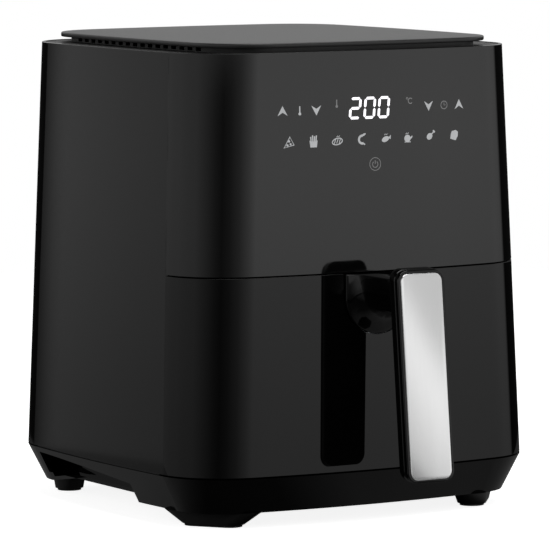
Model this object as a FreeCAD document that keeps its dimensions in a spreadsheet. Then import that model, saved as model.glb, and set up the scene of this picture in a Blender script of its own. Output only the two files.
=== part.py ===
import FreeCAD, Part
import math
import os
import re
import Sketcher

# A countertop air fryer with a pull-out drawer, in millimetres.
# +Z is up, -Y is the front where the drawer and its handle are, +X is the user's right.
# The origin is on the table, below the middle of the box that holds the whole fryer.

Vector = FreeCAD.Vector
Rotation = FreeCAD.Rotation

SIZES = {
    # how far a cutting shape reaches past what it cuts, and a region past the body
    "overcut": 1,
    "region_margin": 40,
    # the outside of the body
    "base_half_width": 135.9,
    "top_half_width": 125.6,
    "base_half_depth": 138.8,
    "top_half_depth": 131.2,
    "side_bow_radius": 1430,
    "front_bow_radius": 660,
    "corner_radius": 47,
    "foot_height": 10,
    "pad_height": 1.5,
    "skirt_height": 23.5,
    "skirt_inset": 12,
    "drawer_height": 128.4,
    "panel_height": 142.9,
    "shell_wall": 2.5,
    "seam_gap": 0.8,
    "base_gap": 1.0,
    "fit_gap": 0.3,
    "front_seam_top": 84,
    "front_seam_base": 89.6,
    "rear_seam_half": 78,
    "rear_screw_margin": 9,
    "rear_screw_low": 0.12,
    "rear_screw_high": 0.9,
    "lip_height": 8,
    # the lid
    "lid_gap": 3,
    "lid_thickness": 3.5,
    "lid_side_inset": 16.3,
    "lid_front_inset": 1.2,
    "lid_corner_radius": 42,
    "ledge_thickness": 3,
    "ledge_width": 34,
    "plinth_inset": 7,
    "plinth_wall": 2,
    "vent_slot_length": 6,
    "vent_slot_pitch": 10,
    # the base
    "arch_knee": 39,
    "arch_back": 84,
    "arch_rise": 13,
    "arch_depth": 32,
    "floor_thickness": 2.5,
    "floor_slot_length": 46,
    "floor_slot_width": 4,
    "floor_slot_pitch": 12,
    "floor_screw_reach": 73.6,
    "floor_screw_length": 6.5,
    "front_foot_length": 66,
    "front_foot_width": 22,
    "front_foot_toe": 42,
    "front_foot_turn": 52,
    "front_foot_side_inset": 36.4,
    "front_foot_front_inset": 43.8,
    "rear_foot_radius": 11,
    "rear_foot_inset": 36.5,
    "slot_straight": 0.1,
    "screw_radius": 1.5,
    "screw_head_radius": 3,
    "screw_head_height": 2,
    "screw_length": 9,
    # the hot chamber
    "sheet_wall": 1.2,
    "side_air_gap": 18,
    "rear_air_gap": 16,
    "floor_air_gap": 4,
    "chamber_radius": 26,
    "frame_setback": 1,
    "frame_thickness": 3,
    "frame_lintel": 2,
    "liner_rise": 8,
    "dome_step": 14,
    "dome_height": 37,
    "dome_radius": 22,
    "dome_flange": 7,
    "guide_height": 2.8,
    "guide_width": 12,
    "coil_drop": 19,
    "coil_tube_radius": 3.25,
    "coil_joint_radius": 4,
    "coil_margin": 10,
    "coil_pitch": 16,
    "coil_end_angle": 165,
    "bush_radius": 6,
    "bush_height": 6,
    "clip_width": 6,
    "clip_thickness": 1.5,
    "guard_wire_radius": 1.25,
    "guard_ring_pitch": 20,
    "probe_radius": 2,
    "duct_half_width": 40,
    "duct_height": 26,
    "duct_wall": 1.5,
    "grille_border": 7,
    "grille_thickness": 3,
    "grille_setback": 1.1,
    "grille_slot_height": 2.6,
    "grille_slot_pitch": 5,
    # motor and fans
    "shaft_radius": 3,
    "shaft_overhang": 1,
    "running_gap": 0.05,
    "fan_drop": 14,
    "fan_height": 11,
    "fan_margin": 6,
    "hub_radius": 8,
    "blade_thickness": 1.2,
    "blade_root": 1,
    "shield_gap": 8,
    "shield_margin": 8,
    "bearing_radius": 9.5,
    "bearing_height": 5,
    "bearing_cup_wall": 2,
    "bracket_half": 42,
    "bracket_leg": 8,
    "stator_radius": 30,
    "stator_height": 22,
    "winding_radius": 2,
    "winding_offset": 1,
    "rotor_radius": 17,
    "rotor_setback": 2,
    "air_gap_radius": 0.5,
    "cooling_fan_radius": 44,
    "cooling_fan_height": 9,
    "nut_half_width": 5,
    "nut_height": 4,
    # electrics
    "board_thickness": 1.6,
    "control_half_width": 72,
    "control_height": 68,
    "control_drop": 14,
    "control_setback": 12,
    "display_half_width": 24,
    "display_height": 19,
    "display_offset": -3.5,
    "display_drop": 36.9,
    "pad_dot_radius": 4,
    "key_row_pitch": 20,
    "key_span": 62.7,
    "inner_key_span": 45.1,
    "power_key_drop": 36,
    "power_board_half_width": 24,
    "power_board_half_depth": 55,
    "power_board_offset": 72,
    "power_board_rise": 6,
    "board_post_inset": 4,
    "transformer_half_width": 14,
    "transformer_half_depth": 12,
    "transformer_height": 22,
    "relay_offset": 32,
    "relay_half_width": 8,
    "relay_half_depth": 10,
    "relay_height": 16,
    "capacitor_offset": 32,
    "capacitor_radius": 8,
    "capacitor_height": 20,
    "gland_radius": 6.4,
    "gland_bore": 3.7,
    "gland_flange": 9.5,
    "gland_length": 13,
    "gland_collar": 2,
    "gland_offset": 56,
    "gland_drop": 72,
    "switch_clearance": 2.5,
    "switch_rise": 88,
    "switch_half": 5,
    "switch_depth": 12,
    "switch_floor": 2,
    "plunger_setback": 6,
    "plunger_radius": 1.5,
    # the drawer
    "cover_thickness": 2.5,
    "trim_thickness": 2.5,
    "pan_wall": 1.5,
    "pan_clearance": 5,
    "pan_radius": 24,
    "pan_foot_radius": 9,
    "pan_rim_width": 3,
    "pan_rim_height": 2,
    "pan_rim_drop": 6,
    "pan_rim_inset": 0.01,
    "pan_screw_low": 0.25,
    "pan_screw_high": 0.75,
    "pan_screw_inset": 36,
    "slide_gap": 0.2,
    "tray_thickness": 2,
    "tray_stand": 12,
    "tray_gap": 3,
    "tray_leg_radius": 5,
    "tray_hole_radius": 3.2,
    "tray_hole_pitch": 15,
    "bumper_half_length": 11,
    # the handle
    "grip_reach_top": 188.3,
    "grip_length": 131.4,
    "grip_lean": 5.6,
    "grip_rise": 3.4,
    "grip_half_width": 17.4,
    "grip_depth": 11,
    "grip_corner": 7.5,
    "plate_half_width": 15.4,
    "plate_corner": 5.5,
    "plate_thickness": 1.5,
    "bezel_depth": 3,
    "bezel_lip": 2,
    "bezel_setback": 0.4,
    "neck_half_width": 16,
    "neck_height": 24.6,
    "neck_overlap": 2,
    "flange_half_width": 24.3,
    "flange_height": 39.4,
    "flange_proud": 1.6,
    "flare_length": 11,
    "handle_screw_pitch": 18,
    "handle_screw_length": 5.4,
}

document = FreeCAD.newDocument("air_fryer")
sheet = document.addObject("Spreadsheet::Sheet", "Sizes")
for row, (alias, size) in enumerate(SIZES.items(), start=1):
    sheet.set(f"A{row}", alias)
    sheet.set(f"B{row}", str(size))
    sheet.setAlias(f"B{row}", alias)
document.recompute()

parts = []


# ---------------------------------------------------------------- sizes as expressions

def bound(text):
    """The expression with each size name pointing at its cell in the sheet."""
    return re.sub(r"[a-z][a-z_]*", lambda m: "Sizes." + m.group() if m.group() in SIZES else m.group(), text)


def value(text):
    """What an expression is worth at the sheet's present sizes."""
    return float(sheet.evalExpression(bound(text)))


def bind(feature, prop, text):
    feature.setExpression(prop, bound(text))


SEAM_Z = "(foot_height + skirt_height)"
DRAWER_TOP_Z = f"({SEAM_Z} + drawer_height)"
BODY_TOP_Z = f"({DRAWER_TOP_Z} + panel_height)"
BODY_RISE = "(drawer_height + panel_height)"
LID_UNDER_Z = f"({BODY_TOP_Z} + lid_gap)"
LID_TOP_Z = f"({LID_UNDER_Z} + lid_thickness)"
DRAWER_BOTTOM_Z = f"({SEAM_Z} + base_gap)"
PANEL_BOTTOM_Z = f"({DRAWER_TOP_Z} + seam_gap)"
WIDE = "(base_half_width + region_margin)"
DEEP = "(base_half_depth + region_margin)"


def half_width_at(z):
    return f"(base_half_width - (base_half_width - top_half_width) * (({z}) - {SEAM_Z}) / {BODY_RISE})"


def half_depth_at(z):
    return f"(base_half_depth - (base_half_depth - top_half_depth) * (({z}) - {SEAM_Z}) / {BODY_RISE})"


def front_seam_at(z):
    """Where the seam between the side shells and the front pieces is, along Y."""
    return f"(-front_seam_base + (front_seam_base - front_seam_top) * (({z}) - {SEAM_Z}) / {BODY_RISE})"


CHAMBER_HALF_WIDTH = f"({half_width_at(DRAWER_TOP_Z)} - shell_wall - side_air_gap)"
FRAME_FRONT_Y = "(-front_seam_top + frame_setback)"
FRAME_BACK_Y = f"({FRAME_FRONT_Y} + frame_thickness)"
REAR_REACH = f"min({half_depth_at(SEAM_Z)}; {half_depth_at(DRAWER_TOP_Z)})"
CHAMBER_BACK_Y = f"({REAR_REACH} - shell_wall - rear_air_gap)"
CHAMBER_MID_Y = f"(({CHAMBER_BACK_Y} + {FRAME_BACK_Y}) / 2)"
CHAMBER_HALF_DEPTH = f"(({CHAMBER_BACK_Y} - {FRAME_BACK_Y}) / 2)"
CHAMBER_FLOOR_Z = f"({SEAM_Z} + floor_air_gap)"
LINER_TOP_Z = f"({DRAWER_TOP_Z} + liner_rise + sheet_wall)"
DOME_TOP_Z = f"({LINER_TOP_Z} + dome_height)"
DOME_HALF_WIDTH = f"({CHAMBER_HALF_WIDTH} - dome_step)"
DOME_HALF_DEPTH = f"({CHAMBER_HALF_DEPTH} - dome_step)"
COIL_RADIUS = f"(min({DOME_HALF_WIDTH}; {DOME_HALF_DEPTH}) - sheet_wall - coil_margin)"
COIL_Z = f"({DOME_TOP_Z} - sheet_wall - coil_drop)"
INNER_COIL_RADIUS = f"({COIL_RADIUS} - coil_pitch)"
FAN_RADIUS = f"({INNER_COIL_RADIUS} - coil_tube_radius - fan_margin)"
FAN_Z = f"({DOME_TOP_Z} - sheet_wall - fan_drop)"
SHIELD_Z = f"({DOME_TOP_Z} + shield_gap)"
BRACKET_Z = f"({SHIELD_Z} + sheet_wall + bracket_leg)"
STATOR_Z = f"({BRACKET_Z} + sheet_wall)"
END_CAP_Z = f"({STATOR_Z} + stator_height)"
COOLING_FAN_Z = f"({END_CAP_Z} + bearing_height + bearing_cup_wall * 2)"
SHAFT_LOW_Z = f"({FAN_Z} - nut_height - shaft_overhang)"
SHAFT_TOP_Z = f"({COOLING_FAN_Z} + cooling_fan_height + nut_height + shaft_overhang)"

COVER_BACK_Y = "(-front_seam_base - frame_setback)"
COVER_FRONT_Y = f"({COVER_BACK_Y} - cover_thickness)"
PAN_HALF_WIDTH = f"({CHAMBER_HALF_WIDTH} - sheet_wall - pan_clearance)"
PAN_BACK_Y = f"({CHAMBER_BACK_Y} - sheet_wall - pan_clearance)"
PAN_MID_Y = f"(({PAN_BACK_Y} + {COVER_BACK_Y}) / 2)"
PAN_HALF_DEPTH = f"(({PAN_BACK_Y} - {COVER_BACK_Y}) / 2)"
GUIDE_TOP_Z = f"({CHAMBER_FLOOR_Z} + sheet_wall + guide_height)"
PAN_FLOOR_Z = f"({GUIDE_TOP_Z} + slide_gap)"
PAN_RIM_Z = f"({DRAWER_TOP_Z} - pan_rim_drop)"
TRAY_Z = f"({PAN_FLOOR_Z} + pan_wall + tray_stand)"
TRAY_HALF_WIDTH = f"({PAN_HALF_WIDTH} - pan_wall - tray_gap)"
TRAY_HALF_DEPTH = f"({PAN_HALF_DEPTH} - pan_wall - tray_gap)"

GRIP_TOP_Z = f"({DRAWER_TOP_Z} + grip_rise)"
GRIP_REACH = "(grip_reach_top + sin(grip_lean) * grip_length)"
CENTRE_Y = f"(({GRIP_REACH} - base_half_depth) / 2)"


# ---------------------------------------------------------------- sketches

def add_sketch(name, x="0", y="0", z="0", turn=None):
    sketch = document.addObject("Sketcher::SketchObject", name)
    place(sketch, x, y, z, turn)
    return sketch


def dimension(sketch, text, kind, *where):
    """A driving dimension of the sketch, bound to the sheet."""
    index = sketch.addConstraint(Sketcher.Constraint(kind, *where, value(text)))
    bind(sketch, f"Constraints[{index}]", text)


def corner_centre(half_width, half_depth, side_radius, front_radius, corner):
    """The centre of the arc that touches both a bowed side and a bowed front from inside."""
    side_x = half_width - side_radius
    front_y = half_depth - front_radius
    side_reach = side_radius - corner
    front_reach = front_radius - corner
    apart = math.hypot(side_x, front_y)
    along = (side_reach ** 2 - front_reach ** 2 + apart ** 2) / (2 * apart)
    across = math.sqrt(side_reach ** 2 - along ** 2)
    unit_x = -side_x / apart
    unit_y = front_y / apart
    base = (side_x + unit_x * along, unit_y * along)
    choices = [(base[0] + unit_y * s * across, base[1] - unit_x * s * across) for s in (1, -1)]
    return max(choices, key=sum)


def bowed_outline(name, half_width, half_depth, inset, z, corner="corner_radius"):
    """A rounded rectangle with gently bowed sides, made of eight arcs that meet smoothly."""
    sketch = add_sketch(name, z=z)
    wide = f"({half_width} - ({inset}))"
    deep = f"({half_depth} - ({inset}))"
    side = f"(side_bow_radius - ({inset}))"
    front = f"(front_bow_radius - ({inset}))"
    small = f"({corner} - ({inset}))"
    w, d, s, f, c = [value(text) for text in (wide, deep, side, front, small)]
    x, y = corner_centre(w, d, s, f, c)
    low = math.atan2(y, x - (w - s))
    high = math.atan2(y - (d - f), x)
    half = math.pi
    arcs = [
        ((w - s, 0), s, -low, low),
        ((x, y), c, low, high),
        ((0, d - f), f, high, half - high),
        ((-x, y), c, half - high, half - low),
        ((s - w, 0), s, half - low, half + low),
        ((-x, -y), c, half + low, half + high),
        ((0, f - d), f, half + high, 2 * half - high),
        ((x, -y), c, 2 * half - high, 2 * half - low),
    ]
    for centre, radius, start, end in arcs:
        circle = Part.Circle(Vector(centre[0], centre[1], 0), Vector(0, 0, 1), radius)
        sketch.addGeometry(Part.ArcOfCircle(circle, start, end), False)
    for index in range(len(arcs)):
        sketch.addConstraint(Sketcher.Constraint("Tangent", index, 2, (index + 1) % len(arcs), 1))
    for index in (1, 3, 5, 7):
        dimension(sketch, small, "Radius", index)
    for index in (0, 4):
        sketch.addConstraint(Sketcher.Constraint("PointOnObject", index, 3, -1))
        dimension(sketch, side, "Radius", index)
    for index in (2, 6):
        sketch.addConstraint(Sketcher.Constraint("PointOnObject", index, 3, -2))
        dimension(sketch, front, "Radius", index)
    dimension(sketch, f"{side} - {wide}", "DistanceX", 0, 3, -1, 1)
    dimension(sketch, f"{side} - {wide}", "DistanceX", -1, 1, 4, 3)
    dimension(sketch, f"{front} - {deep}", "DistanceY", 2, 3, -1, 1)
    dimension(sketch, f"{front} - {deep}", "DistanceY", -1, 1, 6, 3)
    return sketch


def draw_polygon(sketch, points):
    """A closed polygon with every corner held by two dimensions."""
    corners = [Vector(value(x), value(y), 0) for x, y in points]
    for index, corner in enumerate(corners):
        sketch.addGeometry(Part.LineSegment(corner, corners[(index + 1) % len(corners)]), False)
    for index, (x, y) in enumerate(points):
        sketch.addConstraint(Sketcher.Constraint("Coincident", index, 2, (index + 1) % len(points), 1))
        dimension(sketch, x, "DistanceX", -1, 1, index, 1)
        dimension(sketch, y, "DistanceY", -1, 1, index, 1)


def draw_rounded_rectangle(sketch, half_width, half_depth, radius, x="0", y="0"):
    """Four lines and four corner arcs, centred on x, y."""
    w, d, r, cx, cy = [value(text) for text in (half_width, half_depth, radius, x, y)]
    first_arc = sketch.GeometryCount
    arcs = [(1, -1, 1.5), (1, 1, 0), (-1, 1, 0.5), (-1, -1, 1)]
    for sx, sy, quarter in arcs:
        centre = Vector(cx + sx * (w - r), cy + sy * (d - r), 0)
        start = quarter * math.pi
        circle = Part.Circle(centre, Vector(0, 0, 1), r)
        sketch.addGeometry(Part.ArcOfCircle(circle, start, start + math.pi / 2), False)
    first_line = sketch.GeometryCount
    lines = [
        ((w, r - d), (w, d - r)),
        ((w - r, d), (r - w, d)),
        ((-w, d - r), (-w, r - d)),
        ((r - w, -d), (w - r, -d)),
    ]
    for start, end in lines:
        first = Vector(cx + start[0], cy + start[1], 0)
        second = Vector(cx + end[0], cy + end[1], 0)
        sketch.addGeometry(Part.LineSegment(first, second), False)
    for index in range(4):
        arc = first_arc + index
        line = first_line + index
        next_arc = first_arc + (index + 1) % 4
        sketch.addConstraint(Sketcher.Constraint("Tangent", arc, 2, line, 1))
        sketch.addConstraint(Sketcher.Constraint("Tangent", line, 2, next_arc, 1))
        sketch.addConstraint(Sketcher.Constraint("Vertical" if index % 2 == 0 else "Horizontal", line))
        dimension(sketch, radius, "Radius", arc)
    for arc, side_x, side_y in ((first_arc, "+", "-"), (first_arc + 2, "-", "+")):
        dimension(sketch, f"({x}) {side_x} (({half_width}) - ({radius}))", "DistanceX", -1, 1, arc, 3)
        dimension(sketch, f"({y}) {side_y} (({half_depth}) - ({radius}))", "DistanceY", -1, 1, arc, 3)


def draw_circle(sketch, x, y, radius):
    centre = Vector(value(x), value(y), 0)
    index = sketch.addGeometry(Part.Circle(centre, Vector(0, 0, 1), value(radius)), False)
    dimension(sketch, x, "DistanceX", -1, 1, index, 3)
    dimension(sketch, y, "DistanceY", -1, 1, index, 3)
    dimension(sketch, radius, "Radius", index)


def draw_tongue(sketch, half_width, top, bottom):
    """A flat-topped shape with a round lower end, upright in its sketch."""
    w, high, low = value(half_width), value(top), value(bottom)
    circle = Part.Circle(Vector(0, low + w, 0), Vector(0, 0, 1), w)
    sketch.addGeometry(Part.ArcOfCircle(circle, math.pi, 2 * math.pi), False)
    corners = [Vector(w, low + w, 0), Vector(w, high, 0), Vector(-w, high, 0), Vector(-w, low + w, 0)]
    for first, second in zip(corners, corners[1:]):
        sketch.addGeometry(Part.LineSegment(first, second), False)
    sketch.addConstraint(Sketcher.Constraint("PointOnObject", 0, 3, -2))
    sketch.addConstraint(Sketcher.Constraint("Tangent", 0, 2, 1, 1))
    sketch.addConstraint(Sketcher.Constraint("Coincident", 1, 2, 2, 1))
    sketch.addConstraint(Sketcher.Constraint("Coincident", 2, 2, 3, 1))
    sketch.addConstraint(Sketcher.Constraint("Tangent", 3, 2, 0, 1))
    sketch.addConstraint(Sketcher.Constraint("Vertical", 1))
    sketch.addConstraint(Sketcher.Constraint("Horizontal", 2))
    sketch.addConstraint(Sketcher.Constraint("Vertical", 3))
    dimension(sketch, half_width, "Radius", 0)
    dimension(sketch, f"({bottom}) + ({half_width})", "DistanceY", -1, 1, 0, 3)
    dimension(sketch, top, "DistanceY", -1, 1, 2, 1)


# ---------------------------------------------------------------- solids

UPRIGHT_X = Rotation(Vector(1, 1, 1), 120)      # a sketch in the YZ plane, its normal along +X
UPRIGHT_Y = Rotation(Vector(1, 0, 0), 90)       # a sketch in the XZ plane, its normal along -Y
ALONG_X = Rotation(Vector(0, 1, 0), 90)
ALONG_Y = Rotation(Vector(1, 0, 0), -90)
BACKWARD_Y = Rotation(Vector(1, 0, 0), 90)      # a rod that runs along -Y


def place(feature, x="0", y="0", z="0", turn=None):
    """Puts a feature at x, y, z, counted along Y from the middle of the body."""
    if turn is not None:
        feature.Placement = FreeCAD.Placement(Vector(), turn)
    bind(feature, "Placement.Base.x", x)
    bind(feature, "Placement.Base.y", f"({y}) + {CENTRE_Y}")
    bind(feature, "Placement.Base.z", z)


def box(name, x, y, z):
    """A block between the two ends given along each axis."""
    block = document.addObject("Part::Box", name)
    for prop, (low, high) in (("Length", x), ("Width", y), ("Height", z)):
        bind(block, prop, f"({high}) - ({low})")
    place(block, x[0], y[0], z[0])
    return block


def cylinder(name, x, y, z, radius, length, turn=None):
    rod = document.addObject("Part::Cylinder", name)
    bind(rod, "Radius", radius)
    bind(rod, "Height", length)
    place(rod, x, y, z, turn)
    return rod


def sphere(name, x, y, z, radius):
    ball = document.addObject("Part::Sphere", name)
    bind(ball, "Radius", radius)
    place(ball, x, y, z)
    return ball


def torus(name, x, y, z, radius, tube, half_angle="180"):
    """A ring, or an arc of one that is open towards -X."""
    ring = document.addObject("Part::Torus", name)
    bind(ring, "Radius1", radius)
    bind(ring, "Radius2", tube)
    bind(ring, "Angle3", f"2 * ({half_angle})")
    place(ring, x, y, z, Rotation(Vector(0, 0, 1), 0))
    bind(ring, "Placement.Rotation.Angle", f"-({half_angle})")
    return ring


def extrude(name, sketch, length, direction=Vector(0, 0, 1)):
    solid = document.addObject("Part::Extrusion", name)
    solid.Base = sketch
    solid.DirMode = "Custom"
    solid.Dir = direction
    solid.Solid = True
    bind(solid, "LengthFwd", length)
    return solid


def prism_along_x(name, points, low, high):
    sketch = add_sketch(f"{name}_outline", x=low, turn=UPRIGHT_X)
    draw_polygon(sketch, points)
    return extrude(name, sketch, f"({high}) - ({low})", Vector(1, 0, 0))


def rounded_block(name, half_width, half_depth, radius, z, x="0", y="0"):
    sketch = add_sketch(f"{name}_outline", x, y, z[0])
    draw_rounded_rectangle(sketch, half_width, half_depth, radius)
    return extrude(name, sketch, f"({z[1]}) - ({z[0]})")


def loft(name, sections, ruled=True):
    skin = document.addObject("Part::Loft", name)
    skin.Sections = sections
    skin.Solid = True
    skin.Ruled = ruled
    return skin


def cut(name, base, *tools):
    for count, tool in enumerate(tools, start=1):
        step = document.addObject("Part::Cut", name if count == len(tools) else f"{name}_cut")
        step.Base = base
        step.Tool = tool
        base = step
    return base


def fuse(name, *shapes):
    whole = document.addObject("Part::MultiFuse", name)
    whole.Shapes = list(shapes)
    return whole


def common(name, *shapes):
    shared = document.addObject("Part::MultiCommon", name)
    shared.Shapes = list(shapes)
    return shared


def group(name, shapes):
    together = document.addObject("Part::Compound", name)
    together.Links = list(shapes)
    return together


def part(name, shape):
    """Names the finished piece, which is written to a file of that name."""
    shape.Label = name
    parts.append(shape)
    return shape


def body_form(name, inset, low, high):
    """The tapering body between two heights, drawn in by the inset all round."""
    sections = []
    for end, z in (("low", low), ("high", high)):
        sections.append(bowed_outline(f"{name}_{end}", half_width_at(z), half_depth_at(z), inset, z))
    return loft(name, sections)


def skirt_form(name, inset, low, high):
    """The base, which draws in towards the table, between two heights."""
    sections = []
    for end, z in (("low", low), ("high", high)):
        narrowing = f"(skirt_inset * ({SEAM_Z} - ({z})) / skirt_height + ({inset}))"
        sections.append(bowed_outline(f"{name}_{end}", "base_half_width", "base_half_depth", narrowing, z))
    return loft(name, sections)


# ---------------------------------------------------------------- part design bodies

def start_body(name, x="0", y="0", z="0", turn=None):
    body = document.addObject("PartDesign::Body", name)
    place(body, x, y, z, turn)
    return body


def body_sketch(body, name, offset="0"):
    """A sketch on the body's own XY plane, lifted by the offset."""
    sketch = body.newObject("Sketcher::SketchObject", name)
    plane = next(item for item in body.Origin.OriginFeatures if item.Role == "XY_Plane")
    sketch.AttachmentSupport = [(plane, "")]
    sketch.MapMode = "FlatFace"
    bind(sketch, "AttachmentOffset.Base.z", offset)
    return sketch


def pad(body, sketch, length):
    feature = body.newObject("PartDesign::Pad", f"{sketch.Name}_pad")
    feature.Profile = sketch
    bind(feature, "Length", length)
    sketch.Visibility = False
    return feature


def pocket(body, sketch):
    """A cut through the whole body, both ways from the sketch."""
    feature = body.newObject("PartDesign::Pocket", f"{sketch.Name}_pocket")
    feature.Profile = sketch
    feature.Type = "ThroughAll"
    feature.Midplane = True
    sketch.Visibility = False
    return feature


def repeat_in_line(body, feature, axis, count, pitch):
    """Copies of a feature along one of its sketch's axes, spread evenly about the middle."""
    rows = body.newObject("PartDesign::LinearPattern", f"{feature.Name}_row")
    rows.Originals = [feature]
    rows.Direction = (feature.Profile[0], [axis])
    rows.Occurrences = count
    bind(rows, "Length", f"({pitch}) * {count - 1}")
    body.Tip = rows
    return rows


def repeat_in_grid(body, feature, columns, lines, pitch):
    """Copies of a feature in columns along X and lines along Y."""
    grid = body.newObject("PartDesign::MultiTransform", f"{feature.Name}_grid")
    grid.Originals = [feature]
    steps = []
    for axis, count in (("H_Axis", columns), ("V_Axis", lines)):
        step = body.newObject("PartDesign::LinearPattern", f"{feature.Name}_{axis}")
        step.Direction = (feature.Profile[0], [axis])
        step.Occurrences = count
        bind(step, "Length", f"({pitch}) * {count - 1}")
        steps.append(step)
    grid.Transformations = steps
    body.Tip = grid
    return grid


def repeat_round(body, feature, count):
    """Copies of a feature round the body's Z axis."""
    circle = body.newObject("PartDesign::PolarPattern", f"{feature.Name}_round")
    circle.Originals = [feature]
    circle.Axis = (feature.Profile[0], ["N_Axis"])
    circle.Angle = 360
    circle.Occurrences = count
    body.Tip = circle
    return circle


def fitting_count(span, pitch):
    """How many copies fit in a span, as an odd number so that one is in the middle."""
    return 2 * int((value(span) / value(pitch) - 1) / 2) + 1


# ---------------------------------------------------------------- fasteners

def screw(name, x, y, z, turn=None, length="screw_length"):
    """A pan-head screw whose shank runs along +Z from z, or along the axis that turn gives."""
    shank = cylinder(f"{name}_shank", x, y, z, "screw_radius", length, turn)
    axis = (turn or Rotation()).multVec(Vector(0, 0, 1))
    offsets = [f"-screw_head_height * {round(step)}" for step in axis]
    head_at = [f"({start}) + ({offset})" for start, offset in zip((x, y, z), offsets)]
    head = cylinder(f"{name}_head", *head_at, "screw_head_radius", "screw_head_height", turn)
    return fuse(name, shank, head)


# ---------------------------------------------------------------- the outer shells

def front_region(name, low, high):
    """Everything in front of the leaning seam, between two heights."""
    points = [
        (f"-{DEEP}", low), (front_seam_at(low), low),
        (front_seam_at(high), high), (f"-{DEEP}", high),
    ]
    return prism_along_x(name, points, f"-{WIDE}", WIDE)


def make_shells():
    outer = body_form("outer_form", "0", DRAWER_BOTTOM_Z, BODY_TOP_Z)
    low, high = f"{SEAM_Z} - overcut", f"{BODY_TOP_Z} + overcut"
    hollow = body_form("hollow_form", "shell_wall", low, high)

    panel_region = front_region("panel_region", PANEL_BOTTOM_Z, BODY_TOP_Z)
    panel_block = common("panel_block", outer, panel_region)
    panel_hollow = body_form("panel_hollow", "shell_wall", f"{PANEL_BOTTOM_Z} + shell_wall", high)
    part("front_panel", cut("front_panel_shape", panel_block, panel_hollow))

    drawer_region = front_region("drawer_region", DRAWER_BOTTOM_Z, DRAWER_TOP_Z)
    drawer_block = common("drawer_block", outer, drawer_region)
    drawer_hollow = body_form(
        "drawer_hollow", "shell_wall", f"{DRAWER_BOTTOM_Z} + shell_wall", f"{DRAWER_TOP_Z} + overcut"
    )
    seat_outline = root_clearance("handle_seat_outline")
    seat = extrude("handle_seat", seat_outline, f"{DEEP} - front_seam_base", Vector(0, 1, 0))
    part("drawer_front", cut("drawer_front_shape", drawer_block, drawer_hollow, seat))

    for side, (x_low, x_high) in {
        "left": (f"-{WIDE}", "-rear_seam_half"),
        "right": ("rear_seam_half", WIDE),
    }.items():
        points = [
            (f"{front_seam_at(low)} + seam_gap", low), (DEEP, low),
            (DEEP, high), (f"{front_seam_at(high)} + seam_gap", high),
        ]
        region = prism_along_x(f"{side}_region", points, x_low, x_high)
        block = common(f"{side}_block", outer, region)
        part(f"{side}_side_shell", cut(f"{side}_shell_shape", block, hollow))

    make_rear_panel(outer, hollow)


def outer_back_y(x, z):
    """The rear face of the body at a place on it."""
    return f"({half_depth_at(z)} - front_bow_radius + sqrt(pow(front_bow_radius; 2) - pow({x}; 2)))"


def make_rear_panel(outer, hollow):
    """The rear panel with its exhaust window, its cord hole and four screws in recessed bosses."""
    rear_region = box(
        "rear_region",
        ("-rear_seam_half + seam_gap", "rear_seam_half - seam_gap"),
        ("0", DEEP),
        (f"{SEAM_Z} - overcut", f"{BODY_TOP_Z} + overcut"),
    )
    skin = cut("rear_skin", common("rear_block", outer, rear_region), hollow)
    window = box(
        "grille_window",
        ("-duct_half_width - grille_border", "duct_half_width + grille_border"),
        ("0", DEEP),
        (f"{DUCT_Z} - grille_border", f"{DUCT_Z} + duct_height + grille_border"),
    )
    gland_hole = cylinder("gland_hole", "gland_offset", "0", GLAND_Z, "gland_radius", DEEP, ALONG_Y)
    screws = []
    bosses = []
    recesses = []
    for index, (sign, share) in enumerate((
        (-1, "rear_screw_low"), (1, "rear_screw_low"), (-1, "rear_screw_high"), (1, "rear_screw_high"),
    )):
        x = f"({sign} * (rear_seam_half - rear_screw_margin))"
        z = f"({SEAM_Z} + {BODY_RISE} * {share})"
        seat_y = f"({outer_back_y(x, z)} - fit_gap - screw_head_height)"
        screws.append(screw(f"rear_screw_{index}", x, seat_y, z, BACKWARD_Y))
        bosses.append(cylinder(
            f"rear_boss_{index}", x, f"{seat_y} - shell_wall * 2", z,
            "screw_head_radius * 2", "shell_wall * 2 + screw_head_height / 2", ALONG_Y,
        ))
        recesses.append(cylinder(
            f"rear_recess_{index}", x, seat_y, z,
            "screw_head_radius + fit_gap", "shell_wall * 2", ALONG_Y,
        ))
    rear_screws = part("rear_screws", group("rear_screw_group", screws))
    part("rear_panel", cut(
        "rear_panel_shape", fuse("rear_whole", skin, *bosses), window, gland_hole,
        group("rear_recesses", recesses), rear_screws,
    ))


GLAND_Z = f"({BODY_TOP_Z} - gland_drop)"


def tongue(name, half_width, top, bottom, y):
    """The handle root's outline, upright, its plane facing the front."""
    sketch = add_sketch(name, y=y, turn=UPRIGHT_Y)
    draw_tongue(sketch, half_width, top, bottom)
    return sketch


def root_clearance(name):
    """The outline, in front of everything, of the seat that the handle's root fits into."""
    return tongue(
        name, "flange_half_width + seam_gap", f"{DRAWER_TOP_Z} + overcut",
        f"{DRAWER_TOP_Z} - flange_height - seam_gap", f"-{DEEP}",
    )


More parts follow.
